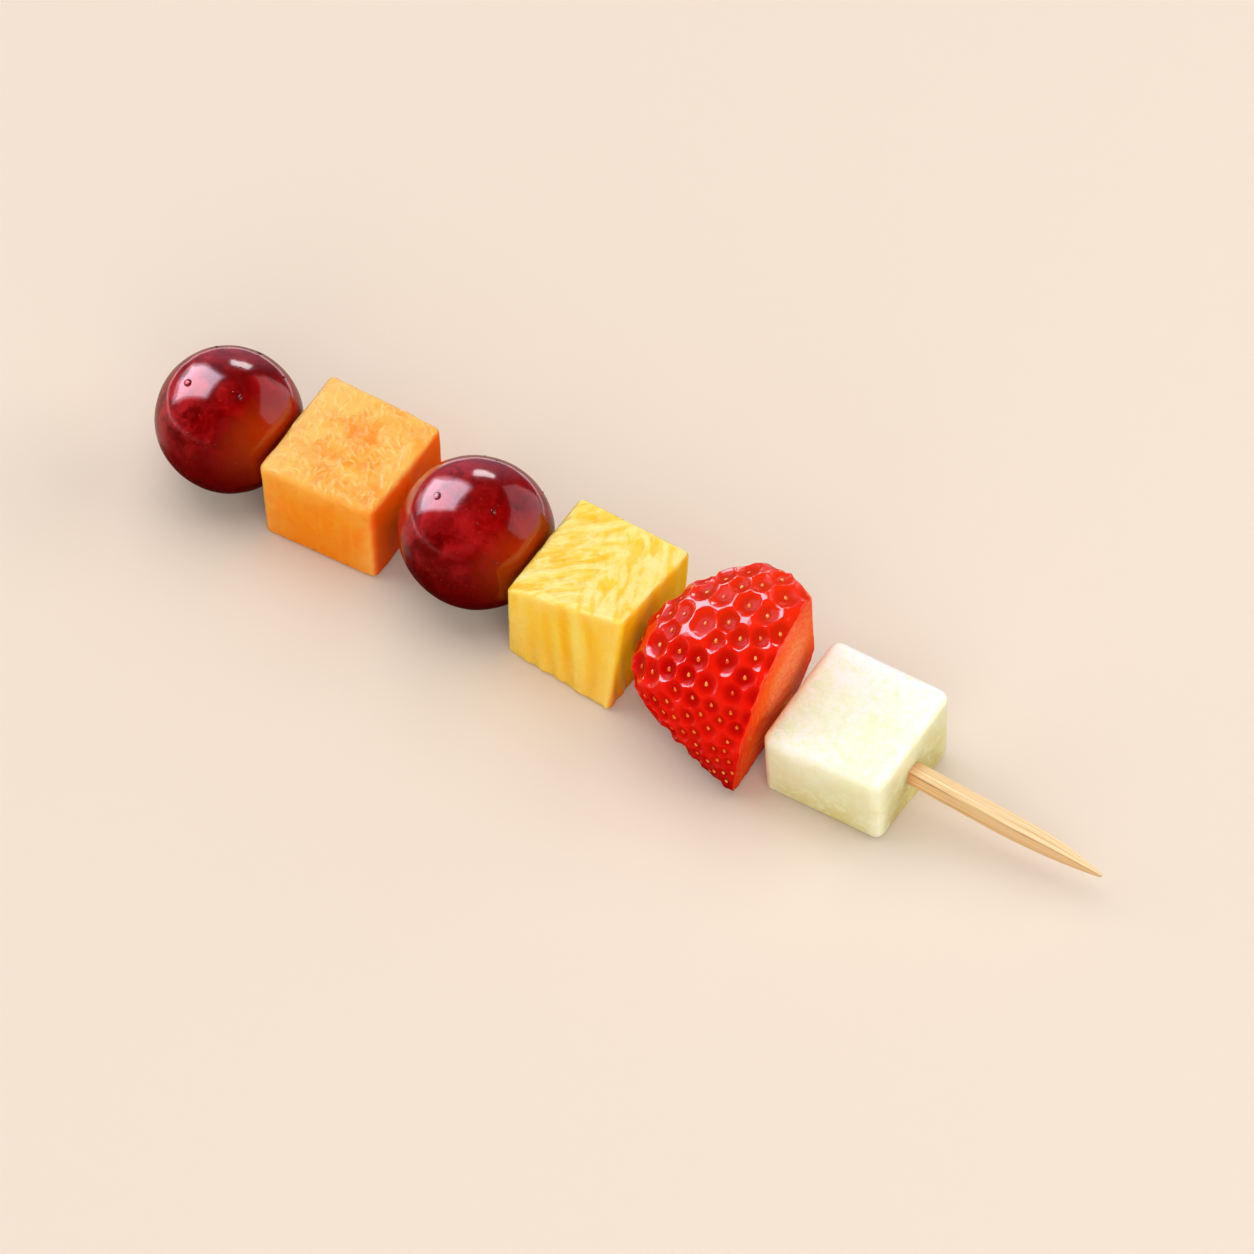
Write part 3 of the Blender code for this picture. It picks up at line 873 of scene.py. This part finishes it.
def strands(node, count, lengths, curl, heading, seed):
    """Short curling strands laid over a cube's top: a finder of the points along them, and strengths."""
    low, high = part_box(node)
    rng = random.Random(seed)
    points = []
    strengths = []
    for _ in range(count):
        spot = Vector((rng.uniform(low.x, high.x), rng.uniform(low.y, high.y), 0.0))
        angle = heading(spot) + rng.gauss(0, 0.35)
        bend = rng.gauss(0, curl) / MM
        strength = rng.uniform(0.45, 1.0)
        steps = int(rng.uniform(*lengths) / STRAND_STEP)
        for step in range(steps):
            points.append(spot.copy())
            strengths.append(strength * math.sin(math.pi * (step + 0.5) / steps) ** 0.5)
            spot += Vector((math.cos(angle), math.sin(angle), 0.0)) * STRAND_STEP
            angle += bend * STRAND_STEP
    return finder(points), strengths


def strand_at(laid, spot, width):
    """How much of a strand lies over a spot, from 0 to 1."""
    tree, strengths = laid
    _place, index, away = tree.find((spot.x, spot.y, 0.0))
    return strengths[index] * math.exp(-((away / width) ** 2))


def cut_cube(fruit, edges, collars, relief, material):
    """A cube of fruit with rounded edges and a relief, raised round the stick by a collar on each end."""
    node = fruit + "_cube"
    name = fruit + "_flesh"
    low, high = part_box(node)
    half = (high - low) / 2
    solid_edge, edge = edges
    corners = sharp_corners(node, solid_edge)
    bm = divided_cube(BLOCK_CUTS)
    marks = new_marks(bm, "top", "beside", "raised", "strand", "edge")
    for vert in bm.verts:
        point = each_axis(vert.co, half)
        to_edge = sorted((half.x - abs(point.x), half.y - abs(point.y), half.z - point.z))[1]
        inner = Vector([clamp(p, edge - h, h - edge) for p, h in zip(point, half)])
        out = (point - inner).normalized()
        point = inner + out * edge
        spot = within(corners, [p / h for p, h in zip(point, half)])
        height, raised, strand = relief(spot, out)
        collar = collars[0] if out.x < 0 else collars[1]
        height += abs(out.x) * puncture(spot, collar, COLLAR_REACH)
        moved = spot + out * height
        if spot.z < FLAT_FOOT:
            moved.z = max(spot.z + max(out.z, 0.0) * height, low.z)
        vert.co = moved
        top = smooth_step(out.z, 0.2, 0.9)
        beside = smooth_step(abs(out.x), 0.2, 0.95)
        # Nearness to an edge, where the finishes paint a highlight.
        worn = math.exp(-to_edge / EDGE_HIGHLIGHT)
        for mark, value in zip(marks, (top, beside, clamp(raised), strand, worn)):
            vert[mark] = value
    new_piece(name, bm, material, node)


def cantaloupe_relief(laid):
    """Short curling strands on the knife-cut top, faint drag marks down the sides."""

    def relief(spot, out):
        upward = smooth_step(out.z, 0.3, 0.9)
        strand = upward * strand_at(laid, spot, CANTALOUPE_STRAND_WIDTH)
        lump = noise.noise(spot / (1.8 * MM)) + 0.5 * noise.noise(spot / (0.8 * MM))
        drag = noise.noise(Vector((spot.x / (1.6 * MM), spot.y / (1.6 * MM), spot.z / (9 * MM))))
        height = upward * (0.15 * strand + 0.05 * lump) + (1 - upward) * 0.05 * drag
        height += 0.16 * noise.noise(spot / (4.5 * MM)) - 0.16
        return height * MM, 0.5 + 0.5 * lump, strand

    return relief


def pineapple_core():
    """The place in the pineapple's top that its fibres fan out from."""
    low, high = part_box("pineapple_cube")
    from_right, from_front = PINEAPPLE_CORE_INSET
    return Vector((high.x - from_right, low.y + from_front, high.z))


PINEAPPLE_CORE = pineapple_core()


def from_core(spot):
    """The way that a fibre runs in the pineapple's top."""
    offset = spot - PINEAPPLE_CORE
    return math.atan2(offset.y, offset.x)


def pineapple_hollows(seed):
    """Short hollows scattered over the pineapple's top, deeper on the left: two ends and a depth each."""
    rng = random.Random(seed)
    low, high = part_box("pineapple_cube")
    hollows = []
    while len(hollows) < HOLLOW_COUNT:
        x = rng.uniform(low.x + HOLLOW_MARGIN, high.x - HOLLOW_MARGIN)
        y = rng.uniform(low.y + HOLLOW_MARGIN, high.y - HOLLOW_MARGIN)
        spot = Vector((x, y))
        if any((spot - (start + end) / 2).length < HOLLOW_SPACING for start, end, _depth in hollows):
            continue
        rightward = (x - low.x) / (high.x - low.x)
        slant = HOLLOW_SLANT + HOLLOW_TURN * rightward + rng.gauss(0, 0.2)
        half_length = rng.uniform(*HOLLOW_LENGTHS) / 2 * (1.2 - 0.6 * rightward)
        along = Vector((math.cos(slant), math.sin(slant))) * half_length
        hollows.append((spot - along, spot + along, 1.0 - 0.7 * rightward))
    return hollows


def hollow_at(hollows, spot):
    """How deep a spot of the pineapple's top lies in a hollow, from 0 to a little over 1."""
    deepest = 0.0
    for start, end, depth in hollows:
        line = end - start
        nearest = start + line * clamp((spot.xy - start).dot(line) / line.dot(line))
        width = (0.75 + 0.35 * noise.noise(spot / (0.8 * MM))) * MM
        deepest = max(deepest, depth * math.exp(-(((spot.xy - nearest).length / width) ** 2)))
    return deepest * (0.75 + 0.6 * noise.noise(spot / (1.2 * MM) + Vector((4, 4, 4))))


def pineapple_relief(laid, hollows):
    """Fibres that fan out from the core's side, with small hollows lying between them."""

    def relief(spot, out):
        offset = spot - PINEAPPLE_CORE
        away = math.hypot(offset.x, offset.y)
        wander = 0.30 * noise.noise(spot / (5 * MM)) + 0.03 * noise.noise(spot / (1.5 * MM))
        fan = from_core(spot) + wander
        upward = smooth_step(out.z, 0.3, 0.9)
        bundle = noise.noise(Vector((6 * fan, away / (5 * MM), 0.0))) * smooth_step(away, 1 * MM, 8 * MM)
        fibre = noise.noise(Vector((27 * fan, away / (2.5 * MM), 3.0))) * smooth_step(away, 4 * MM, 9 * MM)
        lump = noise.noise(spot / (2.0 * MM))
        strand = upward * strand_at(laid, spot, PINEAPPLE_STRAND_WIDTH)
        hollow = hollow_at(hollows, spot)
        around = spot.x + spot.y * 1.07
        band = noise.noise(Vector((around / (2.1 * MM), spot.z / (16 * MM), 2.0)))
        foot = noise.noise(Vector((around / (1.3 * MM), 0.0, 8.0)))
        worn = 1 - 0.75 * smooth_step(spot.z, 3 * MM, 13 * MM)
        top = 0.12 * bundle + 0.03 * fibre + 0.04 * lump + 0.02 * strand - 0.30 * hollow
        side = (0.34 * band + 0.20 * foot * (1 - smooth_step(spot.z, 0.5 * MM, 5 * MM))) * worn
        height = upward * top + (1 - upward) * side - 0.22
        tint = 0.64 + 0.48 * bundle + 0.26 * fibre + 0.14 * lump - 1.10 * hollow
        raised = upward * tint + (1 - upward) * (0.5 + 0.7 * band)
        return height * MM, raised, strand

    return relief


def honeydew_relief(spot, out):
    """Nearly smooth, with soft swells and a slightly frosted top."""
    upward = smooth_step(out.z, 0.3, 0.9)
    swell = noise.noise(spot / (4.2 * MM))
    frost = noise.noise(spot / (1.1 * MM)) + 0.5 * noise.noise(spot / (0.55 * MM))
    height = 0.10 * swell + (0.02 + 0.05 * upward) * frost - 0.12
    return height * MM, 0.5 + 0.6 * frost * upward, 0.0


# ---------------------------------------------------------------- strawberry

def berry_radius(share):
    """The strawberry's half width at a share of its length from the point."""
    if share < BERRY_WIDEST:
        return BERRY_HALF_WIDTH * (1 - (1 - share / BERRY_WIDEST) ** BERRY_POINT_POWER)
    past = (share - BERRY_WIDEST) / (1 - BERRY_WIDEST)
    radius = BERRY_HALF_WIDTH - (BERRY_HALF_WIDTH - BERRY_CROWN_RADIUS) * past**BERRY_SHOULDER_POWER
    return radius * math.sqrt(max(1 - past**BERRY_CROWN_POWER, 0.0))


def berry_point(share, angle):
    """A point on the whole berry's skin, in its own frame, its tip at the origin."""
    radius = berry_radius(share)
    middle = (BERRY_LOWER_DEPTH + BERRY_UPPER_DEPTH) / 2
    depth = middle + (BERRY_LOWER_DEPTH - BERRY_UPPER_DEPTH) / 2 * math.sin(angle)
    return Vector((radius * math.cos(angle), radius * math.sin(angle) * depth, share * BERRY_LENGTH))


def berry_profile(steps=400):
    """Shares of the berry's length along its outline, and how much of the outline lies before each."""
    shares = [(1 - math.cos(math.pi * step / steps)) / 2 for step in range(steps + 1)]
    lengths = [
        math.hypot((far - near) * BERRY_LENGTH, berry_radius(far) - berry_radius(near))
        for near, far in itertools.pairwise(shares)
    ]
    return shares, list(itertools.accumulate(lengths, initial=0.0))


def berry_share(profile, run_share):
    """The share of the berry's length where this share of its outline has been passed."""
    shares, run = profile
    return value_at(shares, run, run_share * run[-1])


def even_angles(steps=360):
    """Angles round the flattened section, and how much of its edge lies before each."""
    angles = [2 * math.pi * step / steps for step in range(steps + 1)]
    lengths = [
        (berry_point(BERRY_WIDEST, far) - berry_point(BERRY_WIDEST, near)).length
        for near, far in itertools.pairwise(angles)
    ]
    return angles, list(itertools.accumulate(lengths, initial=0.0))


def berry_placing():
    level = math.cos(BERRY_RISE)
    axis = Vector((math.sin(BERRY_TURN) * level, math.cos(BERRY_TURN) * level, math.sin(BERRY_RISE)))
    across = Vector((1.0, 0.0, 0.0))
    across = (across - axis * axis.x).normalized()
    turn = Matrix((across, axis.cross(across), axis)).transposed().to_4x4()
    return Matrix.Translation(BERRY_POINT) @ turn


def berry_slices():
    """Each knife cut as a point on it and the direction that it took away."""
    level = math.cos(HULL_SLICE_TILT)
    side = Vector((1.0, -SIDE_SLICE_TURN, -SIDE_SLICE_LEAN)).normalized()
    hull = Vector(
        (math.sin(HULL_SLICE_TURN) * level, math.cos(HULL_SLICE_TURN) * level, math.sin(HULL_SLICE_TILT))
    )
    return ((SIDE_SLICE_PLACE, side), (HULL_SLICE_PLACE, hull))


def slice_share(point, slices):
    """How much of the way from the berry's middle to a point is left after the cuts."""
    left = 1.0
    for spot, normal in slices:
        reach = (point - BERRY_MIDDLE).dot(normal)
        if reach > 0:
            left = smooth_min(left, (spot - BERRY_MIDDLE).dot(normal) / reach, SLICE_EDGE)
    return left


def seed_places(profile, placing):
    """Seeds scattered over the whole berry, each clear of the others, closer together toward its point."""
    angles, edge = even_angles()
    first, last = SEED_CLOSEST
    rng = random.Random(SEED)
    places = []
    for count in range(SEED_TRIES):
        share = berry_share(profile, rng.uniform(0.01, 0.97))
        widened = smooth_step(share, *SEED_SPACING_CHANGE)
        spacing = SEED_SPACING_POINT + (SEED_SPACING_BODY - SEED_SPACING_POINT) * widened
        angle = value_at(angles, edge, rng.uniform(0, edge[-1]))
        skin = placing @ berry_point(share, angle)
        clear = spacing * (first + (last - first) * count / SEED_TRIES)
        if any((skin - other[0]).length < clear for other in places):
            continue
        ahead = placing @ berry_point(clamp(share + 0.01, 0, 1), angle)
        beside = placing @ berry_point(share, angle + 0.02)
        lengthwise = (ahead - skin).normalized()
        out = (beside - skin).cross(lengthwise).normalized()
        if (skin - placing @ Vector((0, 0, share * BERRY_LENGTH))).dot(out) < 0:
            out = -out
        places.append((skin, out, lengthwise, spacing))
    return places


def seed_pits(skins, tree):
    """The radius and depth of the pit round each seed, wider where the seeds stand farther apart."""
    pits = []
    for index, skin in enumerate(skins):
        near = tree.find_n(skin, PIT_NEIGHBOURS + 1)
        radius = PIT_WIDTH / 2 * sum(found[2] for found in near) / PIT_NEIGHBOURS
        depth = min(PIT_DEPTH, PIT_DEPTH_SHARE * radius) * (1 - 0.15 * math.sin(5.1 * index))
        pits.append((radius, depth))
    return pits


def pit_at(skin, tree, pits):
    """How far the skin dips here: hardly at all on the ridges, and most round each seed."""
    dip = -PIT_DEPTH
    for _place, index, away in tree.find_n(skin, PITS_MEETING):
        radius, depth = pits[index]
        dip = -smooth_min(-dip, depth * ((away / radius) ** PIT_CURVE - 1), PIT_CREST * PIT_DEPTH)
    return -smooth_min(-dip, 0.0, PIT_RIM * PIT_DEPTH)


def strawberry(material, seed_material):
    """The sliced berry with a pit round every seed, and the seeds themselves."""
    profile = berry_profile()
    placing = berry_placing()
    slices = berry_slices()
    seeds = seed_places(profile, placing)
    skins = [skin for skin, _out, _lengthwise, _spacing in seeds]
    tree = finder(skins)
    pits = seed_pits(skins, tree)
    turn = placing.to_quaternion()
    core = turn @ Vector((0, 0, 1))
    wide, tall = CUT_SWELL_REACH

    bm = divided_cube(BERRY_CUTS)
    marks = new_marks(bm, "depth", "pit", "along", "streak")
    low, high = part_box("strawberry")
    for vert in bm.verts:
        way = ball_direction(vert.co)
        share = berry_share(profile, math.acos(clamp(-way.z, -1, 1)) / math.pi)
        angle = math.atan2(way.y, way.x)
        skin = placing @ berry_point(share, angle)
        out = (turn @ Vector((way.x, way.y * 1.5, way.z))).normalized()
        left = slice_share(skin, slices)
        point = BERRY_MIDDLE + (skin - BERRY_MIDDLE) * left
        cut_depth = (skin - point).length
        dip = pit_at(skin, tree, pits)
        on_cut = smooth_step(cut_depth, *CUT_FADE)
        sunk = dip * (1 - on_cut)
        sunk += CUT_ROUGHNESS * (0.5 + noise.noise(point / (1.2 * MM))) * on_cut
        point -= out * sunk
        across, up = off_stick(point)
        point.x += on_cut * CUT_SWELL * math.exp(-((across / wide) ** 2 + (up / tall) ** 2))
        point.x = min(point.x, high.x)
        point.y = max(point.y, low.y)
        point.z = max(point.z, low.z)
        vert.co = point
        offset = point - placing.translation
        lengthwise = offset.dot(core)
        streak = (lengthwise - STREAK_SLANT * (offset - core * lengthwise).length) / STREAK_LENGTH
        for mark, value in zip(marks, (cut_depth / CUT_DEEPEST, dip / PIT_DEPTH, share, streak)):
            vert[mark] = value
    new_piece("strawberry_flesh", bm, material, "strawberry")
    strawberry_seeds(seeds, pits, slices, seed_material)


def strawberry_seeds(seeds, pits, slices, material):
    """A seed near the floor of every pit that the knife left whole."""
    bm = bmesh.new()
    rng = random.Random(SEED + 1)
    for (skin, out, lengthwise, spacing), (_radius, depth) in zip(seeds, pits):
        if slice_share(skin, slices) < UNCUT:
            continue
        size = rng.uniform(0.85, 1.1) * (0.65 + 0.35 * spacing / SEED_SPACING_BODY) / 2
        seat = skin - out * (depth - SEED_LIFT)
        side = lengthwise.cross(out).normalized()
        turn = Matrix((lengthwise, side, out)).transposed().to_4x4()
        scale = Matrix.Diagonal((SEED_LENGTH * size, SEED_WIDTH * size, SEED_THICKNESS * size, 1.0))
        made = bmesh.ops.create_icosphere(bm, subdivisions=2, radius=1.0)
        for vert in made["verts"]:
            vert.co.y *= 1 - 0.35 * vert.co.x
            vert.co.z *= 1 - 0.2 * vert.co.x
        bmesh.ops.transform(bm, matrix=Matrix.Translation(seat) @ turn @ scale, verts=made["verts"])
    new_piece("strawberry_seeds", bm, material, None)


# ---------------------------------------------------------------- stick

def stick_half_side(from_tip, far_facet):
    full = STICK_WIDE_SIDE + (STICK_BLUNT_SIDE - STICK_WIDE_SIDE) * from_tip / STICK_LENGTH
    facet_length = STICK_UPPER_FACET if far_facet else STICK_POINT_LENGTH
    taper = math.sin(clamp(from_tip / facet_length) * math.pi / 2) ** STICK_TAPER_POWER
    return (STICK_TIP_SIDE + (full - STICK_TIP_SIDE) * taper) / 2


def rind_at(from_tip, angle):
    """How much of the stalk's brown outer edge shows at a place round the stick, from 0 to 1."""
    wander = RIND_WANDER * noise.noise(Vector((from_tip / (12 * MM), 0, 0)))
    upper = 1 - abs(angle - RIND_ANGLE - wander) / RIND_REACH
    lower = 1 - abs(angle - LOW_RIND_ANGLE) / LOW_RIND_REACH
    return max(upper, LOW_RIND_STRENGTH * lower, 0.0)


def bamboo_stick(material):
    """The stick, squared, with fibres standing a little proud and its corners worn."""
    bm = bmesh.new()
    lay = Matrix.Translation((-0.5, 0.0, 0.0)) @ Matrix.Rotation(math.pi / 2, 4, "Y")
    bmesh.ops.create_cone(
        bm, cap_ends=True, segments=STICK_SECTION_POINTS, radius1=1.0, radius2=1.0, depth=1.0, matrix=lay
    )
    long_edges = [edge for edge in bm.edges if abs(edge.verts[0].co.x - edge.verts[1].co.x) > 0.5]
    bmesh.ops.subdivide_edges(bm, edges=long_edges, cuts=STICK_CUTS)
    around, rind, front, juice_and_shade = new_marks(bm, "around", "rind", "front", "juice_and_shade")
    last_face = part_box("honeydew_cube")[1].x
    slope = (TIP_END - BLUNT_END).normalized()
    turn = slope.to_track_quat("X", "Z").to_matrix() @ Matrix.Rotation(STICK_TWIST, 3, "X")
    for vert in bm.verts:
        share = -vert.co.x
        from_tip = STICK_LENGTH * (0.45 * share + 0.55 * share * share)
        y, z = vert.co.y, vert.co.z
        angle = math.atan2(z, y)
        reach = (abs(y) ** STICK_SQUARENESS + abs(z) ** STICK_SQUARENESS) ** (-1 / STICK_SQUARENESS)
        fibre = noise.noise(Vector((from_tip / (14 * MM), angle * 4.5, 1.0)))
        fibre += 0.6 * noise.noise(Vector((from_tip / (30 * MM), angle * 11, 6.0)))
        reach *= 1 - STICK_FIBRE * (1 + fibre) * smooth_step(from_tip, 0.0, 5 * MM)
        y *= stick_half_side(from_tip, y > 0) * reach
        z *= stick_half_side(from_tip, z > 0) * reach
        vert.co = TIP_END + turn @ Vector((-from_tip - STICK_SHY, y, z))
        vert[around] = angle
        vert[rind] = rind_at(from_tip, angle)
        vert[front] = smooth_step(abs(angle), *FRONT_FACE_ANGLES)
        vert[juice_and_shade] = 1 - smooth_step(vert.co.x, last_face - JUICE_AND_SHADE_INSIDE, last_face + JUICE_AND_SHADE_OUTSIDE)
    new_piece("bamboo_pick", bm, material, "bamboo_stick")


# ---------------------------------------------------------------- water

def drop_spots(node, rng):
    """Places, outward directions and radii of the drops on a grape."""
    centre, half = grape_form(node)
    spots = [(way.normalized(), size * rng.uniform(0.9, 1.1)) for way, size in LARGE_DROPS]
    while len(spots) < len(LARGE_DROPS) + SMALL_DROPS:
        way = Vector((rng.gauss(0, 1), rng.gauss(0, 1), rng.gauss(0.6, 0.8))).normalized()
        if abs(way.x) < 0.75 and way.z > -0.2:
            spots.append((way, rng.triangular(*SMALL_DROP_SIZES, SMALL_DROP_SIZES[0])))
    return [(centre + each_axis(dented(way, centre), half), way, size) for way, size in spots]


def water_drops(material):
    """Drops of water on the grapes, each a round dome."""
    rng = random.Random(SEED + 2)
    spots = drop_spots("end_grape", rng) + drop_spots("middle_grape", rng)
    bm = bmesh.new()
    [dome] = new_marks(bm, "dome")
    for spot, out, size in spots:
        turn = out.to_track_quat("Z", "Y").to_matrix().to_4x4()
        scale = Matrix.Diagonal((size * rng.uniform(0.9, 1.2), size, size * DROP_FLATNESS, 1.0))
        fineness = 4 if size > DROP_FINE_FROM else 2
        made = bmesh.ops.create_icosphere(bm, subdivisions=fineness, radius=1.0)
        for vert in made["verts"]:
            vert[dome] = vert.co.z
        bmesh.ops.transform(bm, matrix=Matrix.Translation(spot) @ turn @ scale, verts=made["verts"])
    new_piece("water_drops", bm, material, None)


# ---------------------------------------------------------------- stage

def soft_box(name, way, distance, width, height, radiance, colour, fills=True, shines=True):
    """A flat rectangular lamp that faces the skewer, for its light, its reflection or both."""
    lamp = bpy.data.lights.new(name, "AREA")
    lamp.shape = "RECTANGLE"
    lamp.size = width
    lamp.size_y = height
    lamp.color = colour
    lamp.energy = radiance * math.pi * width * height
    made = placed(name, lamp)
    made.visible_diffuse = fills
    made.visible_glossy = shines
    way = Vector(way).normalized()
    aim = (-way).to_track_quat("-Z", "Y").to_matrix().to_4x4()
    made.matrix_world = Matrix.Translation(way * distance) @ aim


def glow_toward(look, way, direction, inner, outer, colour):
    """A patch of light in the room, full within inner degrees of a direction and none past outer."""
    facing = look.vector_maths("DOT_PRODUCT", way, Vector(direction).normalized())
    facing = look.maths("MAXIMUM", facing, 0.0)
    edge, full = math.cos(math.radians(outer)), math.cos(math.radians(inner))
    return look.ramp(facing, [(edge, 0.0), (full, colour)])


def surroundings():
    """A dim room with a thin light line where its walls begin, and soft patches of light on them."""
    world = bpy.data.worlds.new("surroundings")
    bpy.context.scene.world = world
    world.use_nodes = True
    look = Nodes(world.node_tree)
    way = look.place("Generated")
    height = look.scaled(look.vector_maths("DOT_PRODUCT", way, ROOM_UP), 0.5, 0.5)
    room = look.ramp(
        height,
        [
            (0.0, (0.03, 0.010, 0.008)),
            (0.14, (0.06, 0.022, 0.016)),
            (0.175, (0.42, 0.29, 0.24)),
            (0.425, (0.42, 0.29, 0.24)),
            (0.470, (0.09, 0.065, 0.09)),
            (0.60, (0.045, 0.035, 0.045)),
            (0.78, (0.015, 0.010, 0.015)),
            (1.0, (0.02, 0.015, 0.02)),
        ],
    )
    line = look.ramp(height, [(0.420, 0.0), (0.428, 1.0), (0.452, 1.0), (0.466, 0.0)])
    behind = look.scaled(look.vector_maths("DOT_PRODUCT", way, LINE_BRIGHT_WAY), 0.5, 0.5)
    shown = look.ramp(behind, [(0.05, 0.0), (0.45, 0.30), (0.7, 0.85), (0.95, 1.0)])
    line = look.blend(line, 0.0, shown)
    dimming = look.ramp(behind, [(0.50, 0.10), (0.60, 0.16), (0.72, 1.0)])
    room = look.blend(1.0, room, dimming, "MULTIPLY")
    room = look.blend(1.0, room, look.blend(1.0, line, (1.6, 1.4, 1.5), "MULTIPLY"), "ADD")
    patches = (
        ((-0.88, -0.46, 0.0), 6, 22, (0.24, 0.06, 0.08)),
        ((-0.53, 0.82, 0.22), 8, 36, (0.40, 0.30, 0.42)),
    )
    for direction, inner, outer, colour in patches:
        room = look.blend(1.0, room, glow_toward(look, way, direction, inner, outer, colour), "ADD")
    look.feed(look.tree.nodes["Background"].inputs["Color"], room)


def stage():
    """Floor, lamps, surroundings and camera."""
    bm = bmesh.new()
    bmesh.ops.create_grid(bm, x_segments=1, y_segments=1, size=TABLE_HALF_SIZE)
    table = placed("table", mesh_from(bm, "table", table_finish()))
    table.location.z = cad_box[0][2]
    table.visible_glossy = False

    white, warm, mauve, pink = (1.0, 0.98, 0.99), (1.0, 0.98, 0.94), (1.0, 0.90, 1.0), (1.0, 0.82, 1.0)
    soft_box("overhead", (-0.25, 0.20, 0.92), 1.0, 1.1, 1.1, 2.05, warm, shines=False)
    soft_box("front_fill", (0.50, -0.72, 0.48), 1.0, 1.2, 0.9, 2.5, warm, shines=False)
    soft_box("left_fill", (-0.80, -0.25, 0.45), 1.0, 0.8, 0.8, 1.6, white, shines=False)
    soft_box("back_fill", (0.66, 0.55, 0.45), 0.8, 0.75, 0.55, 2.8, white, shines=False)
    soft_box("left_panel", (-0.81, 0.05, 0.60), 0.7, 0.50, 0.66, 5.8, pink, fills=False)
    soft_box("left_panel_edge", (-0.82, 0.05, 0.59), 0.7, 0.60, 0.80, 2.2, pink, fills=False)
    soft_box("back_panel", (0.62, 0.72, 0.26), 0.8, 1.1, 0.9, 0.8, mauve, fills=False)
    soft_box("window", (-0.38, 0.78, 0.49), 0.7, 0.24, 0.13, 8.0, white, fills=False)
    surroundings()

    lens = bpy.data.cameras.new("camera")
    lens.lens = CAMERA_LENS
    lens.sensor_width = CAMERA_SENSOR
    lens.clip_start = 0.01
    camera = placed("camera", lens)
    level = math.cos(CAMERA_ELEVATION)
    forward = Vector(
        (-math.sin(CAMERA_AZIMUTH) * level, math.cos(CAMERA_AZIMUTH) * level, -math.sin(CAMERA_ELEVATION))
    )
    camera.matrix_world = (
        Matrix.Translation(CAMERA_AIM - forward * CAMERA_DISTANCE)
        @ forward.to_track_quat("-Z", "Y").to_matrix().to_4x4()
    )
    bpy.context.scene.camera = camera
    bpy.context.scene.view_settings.view_transform = "Standard"


# ---------------------------------------------------------------- build

grape("end_grape_skin", "end_grape", False, True, END_GRAPE_GLOWS)
grape("middle_grape_skin", "middle_grape", True, False, MIDDLE_GRAPE_GLOWS)
laid = strands("cantaloupe_cube", *CANTALOUPE_STRANDS, lambda spot: CANTALOUPE_STRAND_WAY, SEED + 3)
relief = cantaloupe_relief(laid)
cut_cube("cantaloupe", CANTALOUPE_EDGE, CANTALOUPE_COLLARS, relief, cantaloupe_finish())
laid = strands("pineapple_cube", *PINEAPPLE_STRANDS, from_core, SEED + 4)
relief = pineapple_relief(laid, pineapple_hollows(SEED + 5))
cut_cube("pineapple", PINEAPPLE_EDGE, PINEAPPLE_COLLARS, relief, pineapple_finish())
cut_cube("honeydew", HONEYDEW_EDGE, HONEYDEW_COLLARS, honeydew_relief, honeydew_finish())
strawberry(strawberry_finish(), seed_finish())
bamboo_stick(bamboo_finish())
water_drops(water_finish())
stage()
